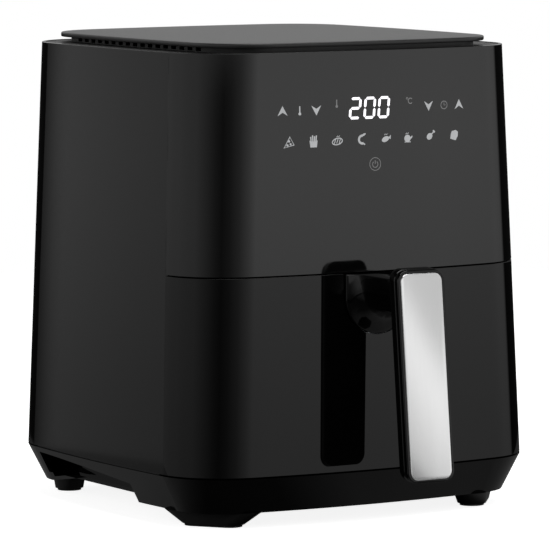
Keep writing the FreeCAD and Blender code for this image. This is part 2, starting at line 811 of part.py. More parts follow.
def make_lid():
    lid_half_width = "(top_half_width - lid_side_inset)"
    lid_half_depth = "(top_half_depth - lid_front_inset)"

    def layer(name, inset, low, high):
        outline = bowed_outline(
            f"{name}_outline", lid_half_width, lid_half_depth, inset, low, "lid_corner_radius"
        )
        return extrude(name, outline, f"({high}) - ({low})")

    part("top_cover", layer("lid_plate", "0", LID_UNDER_Z, LID_TOP_Z))

    ledge_top = f"({BODY_TOP_Z} - fit_gap)"
    ledge_low = f"({ledge_top} - ledge_thickness)"
    ledge = body_form("ledge_plate", "shell_wall + fit_gap", ledge_low, ledge_top)
    opening = layer("ledge_opening", "ledge_width", f"{ledge_low} - overcut", f"{ledge_top} + overcut")
    plinth = layer("plinth_outer", "plinth_inset", ledge_top, LID_UNDER_Z)
    plinth_hollow = layer(
        "plinth_hollow", "plinth_inset + plinth_wall", ledge_top, f"{LID_UNDER_Z} + overcut"
    )
    slots = []
    count = fitting_count("2 * top_half_depth - 2 * lid_corner_radius", "vent_slot_pitch")
    for index in range(count):
        middle = f"({index - count // 2} * vent_slot_pitch)"
        slots.append(box(
            f"vent_slot_{index}",
            (f"-{WIDE}", WIDE),
            (f"{middle} - vent_slot_length / 2", f"{middle} + vent_slot_length / 2"),
            (f"{ledge_top} + plinth_wall / 4", f"{LID_UNDER_Z} - plinth_wall / 4"),
        ))
    wall = cut("plinth_ring", plinth, plinth_hollow, group("vent_slots", slots))
    part("top_vent_ring", fuse("vent_ring_shape", cut("ledge_ring", ledge, opening), wall))


def arch_tool(name, sign, wall):
    """What is cut from one side of the base: a facet that turns under, rising towards the back."""
    sections = []
    for end, y, rise in (
        ("front", f"-arch_knee + {wall}", "arch_rise"),
        ("back", f"arch_back - {wall}", "skirt_height - base_gap"),
    ):
        sketch = add_sketch(f"{name}_{end}", y=y, turn=UPRIGHT_Y)
        edge = f"(base_half_width - skirt_inset * (1 - ({rise}) / skirt_height) - ({wall}))"
        root = f"(base_half_width - arch_depth - ({wall}))"
        draw_polygon(sketch, [
            (f"{sign}{WIDE}", "foot_height - overcut"),
            (f"{sign}{WIDE}", f"foot_height + {rise} + {wall}"),
            (f"{sign}{edge}", f"foot_height + {rise} + {wall}"),
            (f"{sign}{root}", f"foot_height + floor_thickness + {wall}"),
            (f"{sign}{root}", "foot_height - overcut"),
        ])
        sections.append(sketch)
    return loft(name, sections)


def make_base():
    outer = skirt_form("skirt_outer", "0", "foot_height", SEAM_Z)
    hollow = skirt_form("skirt_hollow", "shell_wall", "foot_height - overcut", f"{SEAM_Z} - shell_wall")
    facets = []
    backs = []
    for side, sign in (("left", "-"), ("right", "")):
        facets.append(arch_tool(f"{side}_facet", sign, "0"))
        backs.append(arch_tool(f"{side}_facet_back", sign, "shell_wall"))
    lip_low, lip_high = SEAM_Z, f"({SEAM_Z} + lip_height)"
    lip_outer = body_form("lip_outer", "shell_wall + fit_gap", lip_low, lip_high)
    lip_inner = body_form("lip_inner", "shell_wall * 2 + fit_gap", lip_low, f"{lip_high} + overcut")
    lip_region = box("lip_region", (f"-{WIDE}", WIDE), (FRAME_BACK_Y, DEEP), (lip_low, lip_high))
    lip = cut("lip_ring", common("lip_block", lip_outer, lip_region), lip_inner)
    walls = cut("skirt_walls", cut("skirt_block", outer, *facets), cut("skirt_room", hollow, *backs))
    web_form = skirt_form("web_form", "0", "foot_height", "foot_height + floor_thickness")
    web_edge = "(base_half_width - arch_depth - shell_wall)"
    web_gap = box("web_gap", (f"-{web_edge}", web_edge), (f"-{DEEP}", DEEP), ("0", SEAM_Z))
    corner_webs = cut("corner_webs", web_form, web_gap, *facets)
    part("base_skirt", fuse("skirt_shape", walls, corner_webs, lip))

    plate_form = skirt_form(
        "plate_form", "shell_wall + fit_gap", "foot_height", "foot_height + floor_thickness"
    )
    floor_half_width = "(base_half_width - arch_depth - shell_wall - fit_gap)"
    plate_region = box(
        "plate_region",
        (f"-{floor_half_width}", floor_half_width),
        (f"-{DEEP}", DEEP),
        ("0", BODY_TOP_Z),
    )
    slots = []
    for index in range(7):
        slots.append(rounded_block(
            f"floor_slot_{index}", "floor_slot_length / 2", "floor_slot_width / 2",
            "floor_slot_width / 2 - slot_straight", ("0", SEAM_Z), y=f"{index - 3} * floor_slot_pitch",
        ))
    screws = []
    for index, (sx, sy) in enumerate(((-1, -1), (1, -1), (1, 1), (-1, 1), (-1, 0), (1, 0))):
        screws.append(screw(
            f"floor_screw_{index}", f"{sx} * floor_slot_length", f"{sy} * floor_screw_reach",
            "foot_height", length="floor_screw_length",
        ))
    floor_screws = part("floor_screws", group("floor_screw_group", screws))
    plate = common("plate_block", plate_form, plate_region)
    part("bottom_plate", cut("plate_shape", plate, group("floor_slots", slots), floor_screws))


def make_feet():
    rubber = []
    for side, sign in (("left", "-"), ("right", "")):
        x = f"{sign}(base_half_width - front_foot_side_inset)"
        y = "-(base_half_depth - front_foot_front_inset)"
        turn = Rotation(Vector(0, 0, 1), value(f"{sign or '+'}front_foot_turn"))
        sections = []
        for end, length, half_width, z in (
            ("top", "front_foot_length", "(front_foot_width / 2)", "foot_height"),
            ("toe", "front_foot_toe", "(front_foot_width / 2 - pad_height)", "pad_height"),
        ):
            sketch = add_sketch(f"{side}_foot_{end}", x, y, z, turn)
            draw_rounded_rectangle(sketch, f"{length} / 2", half_width, f"{half_width} - slot_straight")
            sections.append(sketch)
        part(f"foot_front_{side}", loft(f"foot_front_{side}_shape", sections))
        pad_outline = add_sketch(f"{side}_pad_outline", x, y, "0", turn)
        pad_half = "(front_foot_width / 2 - pad_height * 2)"
        draw_rounded_rectangle(
            pad_outline, "front_foot_toe / 2 - pad_height", pad_half, f"{pad_half} - slot_straight"
        )
        rubber.append(extrude(f"{side}_front_pad", pad_outline, "pad_height"))

        x = f"{sign}(base_half_width - rear_foot_inset)"
        y = "(base_half_depth - rear_foot_inset)"
        foot = document.addObject("Part::Cone", f"rear_foot_{side}")
        bind(foot, "Radius1", "rear_foot_radius - pad_height")
        bind(foot, "Radius2", "rear_foot_radius")
        bind(foot, "Height", "foot_height - pad_height")
        place(foot, x, y, "pad_height")
        part(f"foot_rear_{side}", foot)
        rubber.append(cylinder(
            f"{side}_rear_pad", x, y, "0", "rear_foot_radius - pad_height * 2", "pad_height"
        ))
    part("foot_pads", group("foot_pads_group", rubber))


# ---------------------------------------------------------------- the hot chamber

def make_chamber():
    frame_plate = body_form("frame_form", "shell_wall + fit_gap", f"{SEAM_Z} + base_gap", LINER_TOP_Z)
    frame_slab = box(
        "frame_slab", (f"-{WIDE}", WIDE), (FRAME_FRONT_Y, FRAME_BACK_Y),
        (f"{SEAM_Z} + base_gap", LINER_TOP_Z),
    )
    opening = box(
        "frame_opening",
        (f"-({CHAMBER_HALF_WIDTH} - sheet_wall)", f"{CHAMBER_HALF_WIDTH} - sheet_wall"),
        (f"{FRAME_FRONT_Y} - overcut", f"{FRAME_BACK_Y} + overcut"),
        (f"{CHAMBER_FLOOR_Z} + sheet_wall", f"{DRAWER_TOP_Z} - frame_lintel"),
    )
    plunger_hole = cylinder(
        "plunger_hole", SWITCH_X, f"{FRAME_FRONT_Y} - overcut", SWITCH_Z,
        "plunger_radius + fit_gap", "frame_thickness + overcut * 2", ALONG_Y,
    )
    frame = common("frame_block", frame_plate, frame_slab)
    part("chamber_front_frame", cut("frame_shape", frame, opening, plunger_hole))

    back_half_depth = f"({CHAMBER_HALF_DEPTH} + chamber_radius)"
    back_mid_y = f"({CHAMBER_MID_Y} - chamber_radius)"
    liner_outer = rounded_block(
        "liner_outer", CHAMBER_HALF_WIDTH, back_half_depth, "chamber_radius",
        (CHAMBER_FLOOR_Z, LINER_TOP_Z), y=back_mid_y,
    )
    liner_inner = rounded_block(
        "liner_inner", f"{CHAMBER_HALF_WIDTH} - sheet_wall", f"{back_half_depth} - sheet_wall",
        "chamber_radius - sheet_wall",
        (f"{CHAMBER_FLOOR_Z} + sheet_wall", f"{LINER_TOP_Z} - sheet_wall"), y=back_mid_y,
    )
    liner_front = box(
        "liner_front", (f"-{WIDE}", WIDE), (f"-{DEEP} * 2", FRAME_BACK_Y), ("0", BODY_TOP_Z)
    )
    dome_hole = rounded_block(
        "dome_hole", f"{DOME_HALF_WIDTH} - sheet_wall", f"{DOME_HALF_DEPTH} - sheet_wall", "dome_radius",
        (f"{LINER_TOP_Z} - 2 * sheet_wall", f"{LINER_TOP_Z} + overcut"), y=CHAMBER_MID_Y,
    )
    part("chamber_liner", cut("liner_shape", liner_outer, liner_inner, liner_front, dome_hole))

    rail_out = f"({PAN_HALF_WIDTH} - pan_foot_radius)"
    rail_in = f"({rail_out} - guide_width)"
    for side, x in (("left", (f"-{rail_out}", f"-{rail_in}")), ("right", (rail_in, rail_out))):
        rail = box(
            f"{side}_rail", x, (FRAME_BACK_Y, f"{CHAMBER_BACK_Y} - chamber_radius"),
            (f"{CHAMBER_FLOOR_Z} + sheet_wall", GUIDE_TOP_Z),
        )
        part(f"drawer_guide_{side}", rail)


def coil_point(radius, angle_sign):
    """The middle of the heater tube at one of its ends."""
    return (
        f"({radius} * cos(coil_end_angle))",
        f"({CHAMBER_MID_Y} {angle_sign} {radius} * sin(coil_end_angle))",
    )


def make_dome():
    body = rounded_block(
        "dome_outer", DOME_HALF_WIDTH, DOME_HALF_DEPTH, "dome_radius + sheet_wall",
        (LINER_TOP_Z, DOME_TOP_Z), y=CHAMBER_MID_Y,
    )
    flange = rounded_block(
        "dome_flange_plate", f"{DOME_HALF_WIDTH} + dome_flange", f"{DOME_HALF_DEPTH} + dome_flange",
        "dome_radius + dome_flange", (LINER_TOP_Z, f"{LINER_TOP_Z} + sheet_wall"), y=CHAMBER_MID_Y,
    )
    hollow = rounded_block(
        "dome_hollow", f"{DOME_HALF_WIDTH} - sheet_wall", f"{DOME_HALF_DEPTH} - sheet_wall", "dome_radius",
        (f"{LINER_TOP_Z} - overcut", f"{DOME_TOP_Z} - sheet_wall"), y=CHAMBER_MID_Y,
    )
    shaft_hole = cylinder(
        "dome_shaft_hole", "0", CHAMBER_MID_Y, f"{DOME_TOP_Z} - 2 * sheet_wall",
        "shaft_radius * 2", "sheet_wall * 4",
    )
    duct_hole = box(
        "dome_duct_hole", ("-duct_half_width + duct_wall", "duct_half_width - duct_wall"),
        (CHAMBER_MID_Y, f"{CHAMBER_MID_Y} + {DOME_HALF_DEPTH} + overcut"),
        (f"{DUCT_Z} + duct_wall", f"{DUCT_Z} + duct_height - duct_wall"),
    )
    holes = [shaft_hole, duct_hole]
    bushes = []
    for radius, label in ((COIL_RADIUS, "outer"), (INNER_COIL_RADIUS, "inner")):
        x, y = coil_point(radius, "-")
        base = f"{DOME_TOP_Z} - bush_height / 2"
        holes.append(cylinder(f"{label}_bush_hole", x, y, base, "bush_radius", "bush_height"))
        ring = cylinder(f"{label}_bush_ring", x, y, base, "bush_radius", "bush_height")
        bore = cylinder(
            f"{label}_bush_bore", x, y, f"{base} - overcut", "coil_tube_radius", "bush_height + overcut * 2"
        )
        bushes.append(cut(f"{label}_bush", ring, bore))
    x, y = PROBE_AT
    holes.append(cylinder(
        "probe_hole", x, y, f"{DOME_TOP_Z} - 2 * sheet_wall", "probe_radius", "sheet_wall * 4"
    ))
    part("chamber_dome", cut("dome_shape", fuse("dome_block", body, flange), hollow, *holes))
    part("heater_bushes", group("heater_bush_pair", bushes))


DUCT_Z = f"({LINER_TOP_Z} + dome_flange)"
PROBE_AT = (f"(({COIL_RADIUS} + {INNER_COIL_RADIUS}) / 2)", CHAMBER_MID_Y)
SWITCH_X = f"({CHAMBER_HALF_WIDTH} + switch_clearance + switch_half)"
SWITCH_Z = f"({SEAM_Z} + switch_rise)"


def make_heater():
    rings = [
        torus(f"{label}_coil", "0", CHAMBER_MID_Y, COIL_Z, radius, "coil_tube_radius", "coil_end_angle")
        for label, radius in (("outer", COIL_RADIUS), ("inner", INNER_COIL_RADIUS))
    ]
    pieces = list(rings)
    for label, radius in (("outer", COIL_RADIUS), ("inner", INNER_COIL_RADIUS)):
        for sign in ("+", "-"):
            x, y = coil_point(radius, sign)
            end = "link" if sign == "+" else "terminal"
            pieces.append(sphere(f"{label}_{end}_ball", x, y, COIL_Z, "coil_joint_radius"))
        x, y = coil_point(radius, "-")
        pieces.append(cylinder(
            f"{label}_terminal", x, y, COIL_Z,
            "coil_tube_radius", f"{DOME_TOP_Z} + bush_height - {COIL_Z}",
        ))
    x, y = coil_point(INNER_COIL_RADIUS, "+")
    link = cylinder("coil_link", x, y, COIL_Z, "coil_tube_radius", "coil_pitch", ALONG_X)
    turn = Rotation(Vector(0, 0, 1), value("coil_end_angle"))
    link.Placement = FreeCAD.Placement(Vector(), turn.multiply(ALONG_X))
    place(link, x, y, COIL_Z)
    pieces.append(link)
    part("heating_coil", fuse("coil_shape", *pieces))

    clips = []
    reach = f"({COIL_RADIUS} + coil_tube_radius)"
    near = f"({INNER_COIL_RADIUS} - coil_tube_radius)"
    bar_z = f"{COIL_Z} + coil_tube_radius"
    for label, x, y in (
        ("front", ("-clip_width / 2", "clip_width / 2"), (f"-{reach}", f"-{near}")),
        ("back", ("-clip_width / 2", "clip_width / 2"), (near, reach)),
    ):
        ends = tuple(f"{CHAMBER_MID_Y} + {end}" for end in y)
        bar = box(f"{label}_clip_bar", x, ends, (bar_z, f"{bar_z} + clip_thickness"))
        middle = f"({ends[0]} + {ends[1]}) / 2"
        stem = box(
            f"{label}_clip_stem", x, (f"{middle} - clip_thickness / 2", f"{middle} + clip_thickness / 2"),
            (bar_z, f"{DOME_TOP_Z} - sheet_wall"),
        )
        clips.append(fuse(f"{label}_clip", bar, stem))
    part("heater_clips", group("heater_clip_pair", clips))

    wires = []
    z = f"({LINER_TOP_Z} - sheet_wall - guard_wire_radius)"
    count = int(value(f"min({DOME_HALF_WIDTH}; {DOME_HALF_DEPTH}) / guard_ring_pitch"))
    for index in range(1, count + 1):
        wires.append(torus(
            f"guard_ring_{index}", "0", CHAMBER_MID_Y, z, f"guard_ring_pitch * {index}", "guard_wire_radius"
        ))
    reach_x = f"({DOME_HALF_WIDTH} + dome_flange)"
    reach_y = f"({DOME_HALF_DEPTH} + dome_flange)"
    wires.append(cylinder(
        "guard_bar_x", f"-{reach_x}", CHAMBER_MID_Y, z, "guard_wire_radius", f"2 * {reach_x}", ALONG_X
    ))
    wires.append(cylinder(
        "guard_bar_y", "0", f"{CHAMBER_MID_Y} - {reach_y}", z, "guard_wire_radius", f"2 * {reach_y}", ALONG_Y
    ))
    part("heater_guard", fuse("guard_shape", *wires))

    x, y = PROBE_AT
    rod = cylinder(
        "probe_rod", x, y, f"{COIL_Z} - coil_tube_radius * 2",
        "probe_radius", f"{DOME_TOP_Z} - {COIL_Z} + coil_tube_radius * 2",
    )
    head = cylinder("probe_head", x, y, DOME_TOP_Z, "probe_radius * 2", "probe_radius * 2")
    part("temperature_probe", fuse("probe_shape", rod, head))
    part("thermal_cutout", cylinder(
        "cutout_disc", f"-{PROBE_AT[0]}", f"{CHAMBER_MID_Y} + bracket_half", DOME_TOP_Z,
        "hub_radius", "shield_gap - seam_gap",
    ))


def make_exhaust():
    back = f"({half_depth_at(LINER_TOP_Z)} - shell_wall - grille_thickness * 2)"
    front = f"({CHAMBER_MID_Y} + {DOME_HALF_DEPTH})"
    outer = box(
        "duct_outer", ("-duct_half_width", "duct_half_width"), (front, back),
        (DUCT_Z, f"{DUCT_Z} + duct_height"),
    )
    inner = box(
        "duct_inner",
        ("-duct_half_width + duct_wall", "duct_half_width - duct_wall"),
        (f"{front} - overcut", f"{back} + overcut"),
        (f"{DUCT_Z} + duct_wall", f"{DUCT_Z} + duct_height - duct_wall"),
    )
    part("exhaust_duct", cut("duct_shape", outer, inner))

    lean = "atan((base_half_depth - top_half_depth) / " + BODY_RISE + ")"
    middle_z = f"({DUCT_Z} + duct_height / 2)"
    inner_y = f"{half_depth_at(middle_z)} - grille_thickness - grille_setback"
    body = start_body("grille_body", "0", inner_y, middle_z, ALONG_Y)
    bind(body, "Placement.Rotation.Angle", f"90 deg + {lean}")
    outline = body_sketch(body, "grille_outline")
    half_width = "(duct_half_width + grille_border - fit_gap)"
    half_height = "(duct_height / 2 + grille_border - fit_gap)"
    draw_polygon(outline, [
        (f"-{half_width}", f"-{half_height}"), (half_width, f"-{half_height}"),
        (half_width, half_height), (f"-{half_width}", half_height),
    ])
    pad(body, outline, "grille_thickness")
    slot = body_sketch(body, "grille_slot")
    draw_rounded_rectangle(
        slot, "duct_half_width - 2 * duct_wall", "grille_slot_height / 2",
        "grille_slot_height / 2 - slot_straight",
    )
    count = fitting_count("duct_height - 2 * duct_wall", "grille_slot_pitch")
    repeat_in_line(body, pocket(body, slot), "V_Axis", count, "grille_slot_pitch")
    part("exhaust_grille", body)


# ---------------------------------------------------------------- motor and fans

def make_motor():
    shield = rounded_block(
        "shield_plate", f"{CHAMBER_HALF_WIDTH} - shield_margin", f"{CHAMBER_HALF_DEPTH} - shield_margin",
        "dome_radius", (SHIELD_Z, f"{SHIELD_Z} + sheet_wall"), y=CHAMBER_MID_Y,
    )
    shaft_hole = cylinder(
        "shield_hole", "0", CHAMBER_MID_Y, f"{SHIELD_Z} - overcut",
        "bearing_radius + bearing_cup_wall + seam_gap", "sheet_wall + overcut * 2",
    )
    part("heat_shield", cut("shield_shape", shield, shaft_hole))

    def ring(name, outer, inner, low, high):
        length = f"({high}) - ({low})"
        solid = cylinder(f"{name}_outer", "0", CHAMBER_MID_Y, low, outer, length)
        bore = cylinder(
            f"{name}_bore", "0", CHAMBER_MID_Y, f"({low}) - overcut", inner, f"{length} + overcut * 2"
        )
        return cut(name, solid, bore)

    cup = "bearing_radius + bearing_cup_wall"
    lower_low = f"({BRACKET_Z} - bearing_height)"
    upper_high = f"({END_CAP_Z} + bearing_cup_wall + bearing_height)"
    plate = rounded_block(
        "bracket_plate", "bracket_half", "bracket_half", "hub_radius", (BRACKET_Z, STATOR_Z), y=CHAMBER_MID_Y
    )
    plate_hole = cylinder(
        "bracket_hole", "0", CHAMBER_MID_Y, f"{BRACKET_Z} - overcut",
        "bearing_radius", "sheet_wall + overcut * 2",
    )
    legs = []
    for index, (sx, sy) in enumerate(((-1, -1), (1, -1), (1, 1), (-1, 1))):
        legs.append(cylinder(
            f"bracket_leg_{index}", f"{sx} * (bracket_half - hub_radius)",
            f"{CHAMBER_MID_Y} + {sy} * (bracket_half - hub_radius)",
            f"{SHIELD_Z} + sheet_wall", "hub_radius / 2", "bracket_leg",
        ))
    cup_ring = ring("lower_cup", cup, "bearing_radius", lower_low, BRACKET_Z)
    part("motor_bracket", fuse("bracket_shape", cut("bracket_top", plate, plate_hole), cup_ring, *legs))

    cap_plate = ring(
        "cap_plate", "stator_radius", "bearing_radius", END_CAP_Z, f"{END_CAP_Z} + bearing_cup_wall"
    )
    cap_cup = ring("cap_cup", cup, "bearing_radius", END_CAP_Z, upper_high)
    part("motor_end_cap", fuse("end_cap_shape", cap_plate, cap_cup))
    bearing_bore = "shaft_radius + running_gap"
    part("motor_bearings", group("bearing_pair", [
        ring("lower_bearing", "bearing_radius", bearing_bore, lower_low, BRACKET_Z),
        ring("upper_bearing", "bearing_radius", bearing_bore,
             f"{END_CAP_Z} + bearing_cup_wall", upper_high),
    ]))
    stator_bore = "rotor_radius + air_gap_radius"
    core = ring("stator_core", "stator_radius", stator_bore, STATOR_Z, END_CAP_Z)
    winding_ring = f"({stator_bore} + stator_radius) / 2 + winding_offset"
    coils = [
        torus(f"winding_{label}", "0", CHAMBER_MID_Y, z, winding_ring, "winding_radius")
        for label, z in (("low", f"{STATOR_Z} + bearing_height"), ("high", f"{END_CAP_Z} - bearing_height"))
    ]
    part("motor_stator", fuse("stator_shape", core, *coils))

    part("rotor_core", ring(
        "rotor_shape", "rotor_radius", "shaft_radius",
        f"{STATOR_Z} + rotor_setback", f"{END_CAP_Z} - rotor_setback",
    ))
    part("motor_shaft", cylinder(
        "shaft_rod", "0", CHAMBER_MID_Y, SHAFT_LOW_Z, "shaft_radius", f"{SHAFT_TOP_Z} - {SHAFT_LOW_Z}"
    ))
    make_fan("hot_air_fan", FAN_Z, "fan_height", FAN_RADIUS, 8)
    make_fan("cooling_fan", COOLING_FAN_Z, "cooling_fan_height", "cooling_fan_radius", 7)
    nuts = []
    for label, z in (("hot", f"{FAN_Z} - nut_height"), ("cooling", f"{COOLING_FAN_Z} + cooling_fan_height")):
        sketch = add_sketch(f"{label}_nut_outline", "0", CHAMBER_MID_Y, z)
        draw_polygon(sketch, [
            (f"nut_half_width / cos(30) * cos({angle})", f"nut_half_width / cos(30) * sin({angle})")
            for angle in range(0, 360, 60)
        ])
        bore = cylinder(
            f"{label}_nut_bore", "0", CHAMBER_MID_Y, f"{z} - overcut",
            "shaft_radius", "nut_height + overcut * 2",
        )
        nuts.append(cut(f"{label}_nut", extrude(f"{label}_nut_block", sketch, "nut_height"), bore))
    part("fan_nuts", group("fan_nut_pair", nuts))


def make_fan(name, z, depth, radius, blade_count):
    """A pressed radial fan: a thin disc, a hub with the shaft's bore, and upright blades."""
    body = start_body(f"{name}_body", "0", CHAMBER_MID_Y, z)
    disc = body_sketch(body, f"{name}_disc", f"({depth}) - blade_thickness")
    draw_circle(disc, "0", "0", radius)
    draw_circle(disc, "0", "0", "shaft_radius")
    pad(body, disc, "blade_thickness")
    hub = body_sketch(body, f"{name}_hub")
    draw_circle(hub, "0", "0", "hub_radius")
    draw_circle(hub, "0", "0", "shaft_radius")
    pad(body, hub, depth)
    blade = body_sketch(body, f"{name}_blade")
    root, tip = "hub_radius - blade_root", f"{radius} - blade_root"
    draw_polygon(blade, [
        (root, "-blade_thickness / 2"), (tip, "-blade_thickness / 2"),
        (tip, "blade_thickness / 2"), (root, "blade_thickness / 2"),
    ])
    repeat_round(body, pad(body, blade, f"({depth}) - blade_thickness / 2"), blade_count)
    part(name, body)


# ---------------------------------------------------------------- electrics

def panel_inner_y(x, low, high):
    """How far in the front panel's inner face comes at a distance from the middle, between two heights."""
    reach = f"min({half_depth_at(low)}; {half_depth_at(high)})"
    return f"(front_bow_radius - {reach} - sqrt(pow(front_bow_radius - shell_wall; 2) - pow({x}; 2)))"


CONTROL_TOP_Z = f"({BODY_TOP_Z} - control_drop)"
BOARD_FRONT_Y = "(-top_half_depth + shell_wall + control_setback)"
BOARD_BACK_Y = f"({BOARD_FRONT_Y} + board_thickness)"
DISPLAY_Z = f"({BODY_TOP_Z} - display_drop)"
POWER_Z = f"({SHIELD_Z} + sheet_wall + power_board_rise)"


def make_electrics():
    part("control_board", box(
        "control_board_plate", ("-control_half_width", "control_half_width"), (BOARD_FRONT_Y, BOARD_BACK_Y),
        (f"{CONTROL_TOP_Z} - control_height", CONTROL_TOP_Z),
    ))
    display_edge = "(abs(display_offset) + display_half_width)"
    display_low = f"({DISPLAY_Z} - display_height / 2)"
    display_high = f"({DISPLAY_Z} + display_height / 2)"
    part("display_module", box(
        "display_block",
        ("display_offset - display_half_width", "display_offset + display_half_width"),
        (f"{panel_inner_y(display_edge, display_low, display_high)} + fit_gap", BOARD_FRONT_Y),
        (display_low, display_high),
    ))
    dots = []
    lower_row_z = f"({DISPLAY_Z} - key_row_pitch)"
    for index in range(8):
        dots.append((f"(key_span * {2 * index - 7} / 7)", lower_row_z))
    for sign in ("-", ""):
        for span in ("key_span", "inner_key_span"):
            dots.append((f"({sign}{span})", DISPLAY_Z))
    dots.append(("0", f"({DISPLAY_Z} - power_key_drop)"))
    springs = []
    for index, (x, z) in enumerate(dots):
        edge = f"(abs({x}) + pad_dot_radius)"
        face_y = panel_inner_y(edge, f"({z} - pad_dot_radius)", f"({z} + pad_dot_radius)")
        front = f"({face_y} + fit_gap)"
        springs.append(cylinder(
            f"key_spring_{index}", x, front, z, "pad_dot_radius", f"{BOARD_FRONT_Y} - {front}", ALONG_Y
        ))
    part("touch_key_springs", group("key_spring_group", springs))

    x = ("power_board_offset - power_board_half_width", "power_board_offset + power_board_half_width")
    y = (f"{CHAMBER_MID_Y} - power_board_half_depth", f"{CHAMBER_MID_Y} + power_board_half_depth")
    top = f"({POWER_Z} + board_thickness)"
    board = box("power_board_plate", x, y, (POWER_Z, top))
    transformer = box(
        "transformer",
        ("power_board_offset - transformer_half_width", "power_board_offset + transformer_half_width"),
        (f"{CHAMBER_MID_Y} - transformer_half_depth", f"{CHAMBER_MID_Y} + transformer_half_depth"),
        (top, f"{top} + transformer_height"),
    )
    relay_y = f"({CHAMBER_MID_Y} + relay_offset)"
    relay = box(
        "relay",
        ("power_board_offset - relay_half_width", "power_board_offset + relay_half_width"),
        (f"{relay_y} - relay_half_depth", f"{relay_y} + relay_half_depth"),
        (top, f"{top} + relay_height"),
    )
    capacitor = cylinder(
        "capacitor", "power_board_offset", f"{CHAMBER_MID_Y} - capacitor_offset", top,
        "capacitor_radius", "capacitor_height",
    )
    posts = []
    for index, (sx, sy) in enumerate(((-1, -1), (1, -1), (1, 1), (-1, 1))):
        posts.append(cylinder(
            f"board_post_{index}",
            f"power_board_offset + {sx} * (power_board_half_width - board_post_inset)",
            f"{CHAMBER_MID_Y} + {sy} * (power_board_half_depth - board_post_inset)",
            f"{SHIELD_Z} + sheet_wall", "screw_head_radius", "power_board_rise",
        ))
    part("power_board", fuse("power_board_shape", board, transformer, relay, capacitor))
    part("power_board_posts", group("board_post_group", posts))

    gland_edge = "(gland_offset - gland_flange)"
    below = outer_back_y(gland_edge, f"({GLAND_Z} - gland_flange)")
    above = outer_back_y(gland_edge, f"({GLAND_Z} + gland_flange)")
    outside = f"max({below}; {above})"
    barrel_start = f"({outside} - gland_length)"
    barrel = cylinder(
        "gland_barrel", "gland_offset", barrel_start, GLAND_Z,
        "gland_radius", "gland_length + gland_collar / 2", ALONG_Y,
    )
    collar = cylinder(
        "gland_collar_disc", "gland_offset", outside, GLAND_Z, "gland_flange", "gland_collar", ALONG_Y
    )
    bore = cylinder(
        "gland_bore_cut", "gland_offset", f"{barrel_start} - overcut", GLAND_Z,
        "gland_bore", "gland_length + gland_collar + overcut * 2", ALONG_Y,
    )
    part("cord_gland", cut("gland_shape", fuse("gland_block", barrel, collar), bore))

    x = (f"{SWITCH_X} - switch_half", f"{SWITCH_X} + switch_half")
    z = (f"{SWITCH_Z} - switch_half", f"{SWITCH_Z} + switch_half")
    case = box("switch_case", x, (FRAME_BACK_Y, f"{FRAME_BACK_Y} + switch_depth"), z)
    room = cylinder(
        "switch_room", SWITCH_X, f"{FRAME_BACK_Y} - overcut", SWITCH_Z,
        "plunger_radius + fit_gap", "switch_depth - switch_floor", ALONG_Y,
    )
    part("door_switch", cut("door_switch_shape", case, room))
    tip = f"({COVER_BACK_Y} + fit_gap)"
    part("switch_plunger", cylinder(
        "plunger_rod", SWITCH_X, tip, SWITCH_Z, "plunger_radius",
        f"{FRAME_BACK_Y} + switch_depth - plunger_setback - {tip}", ALONG_Y,
    ))


# ---------------------------------------------------------------- the drawer

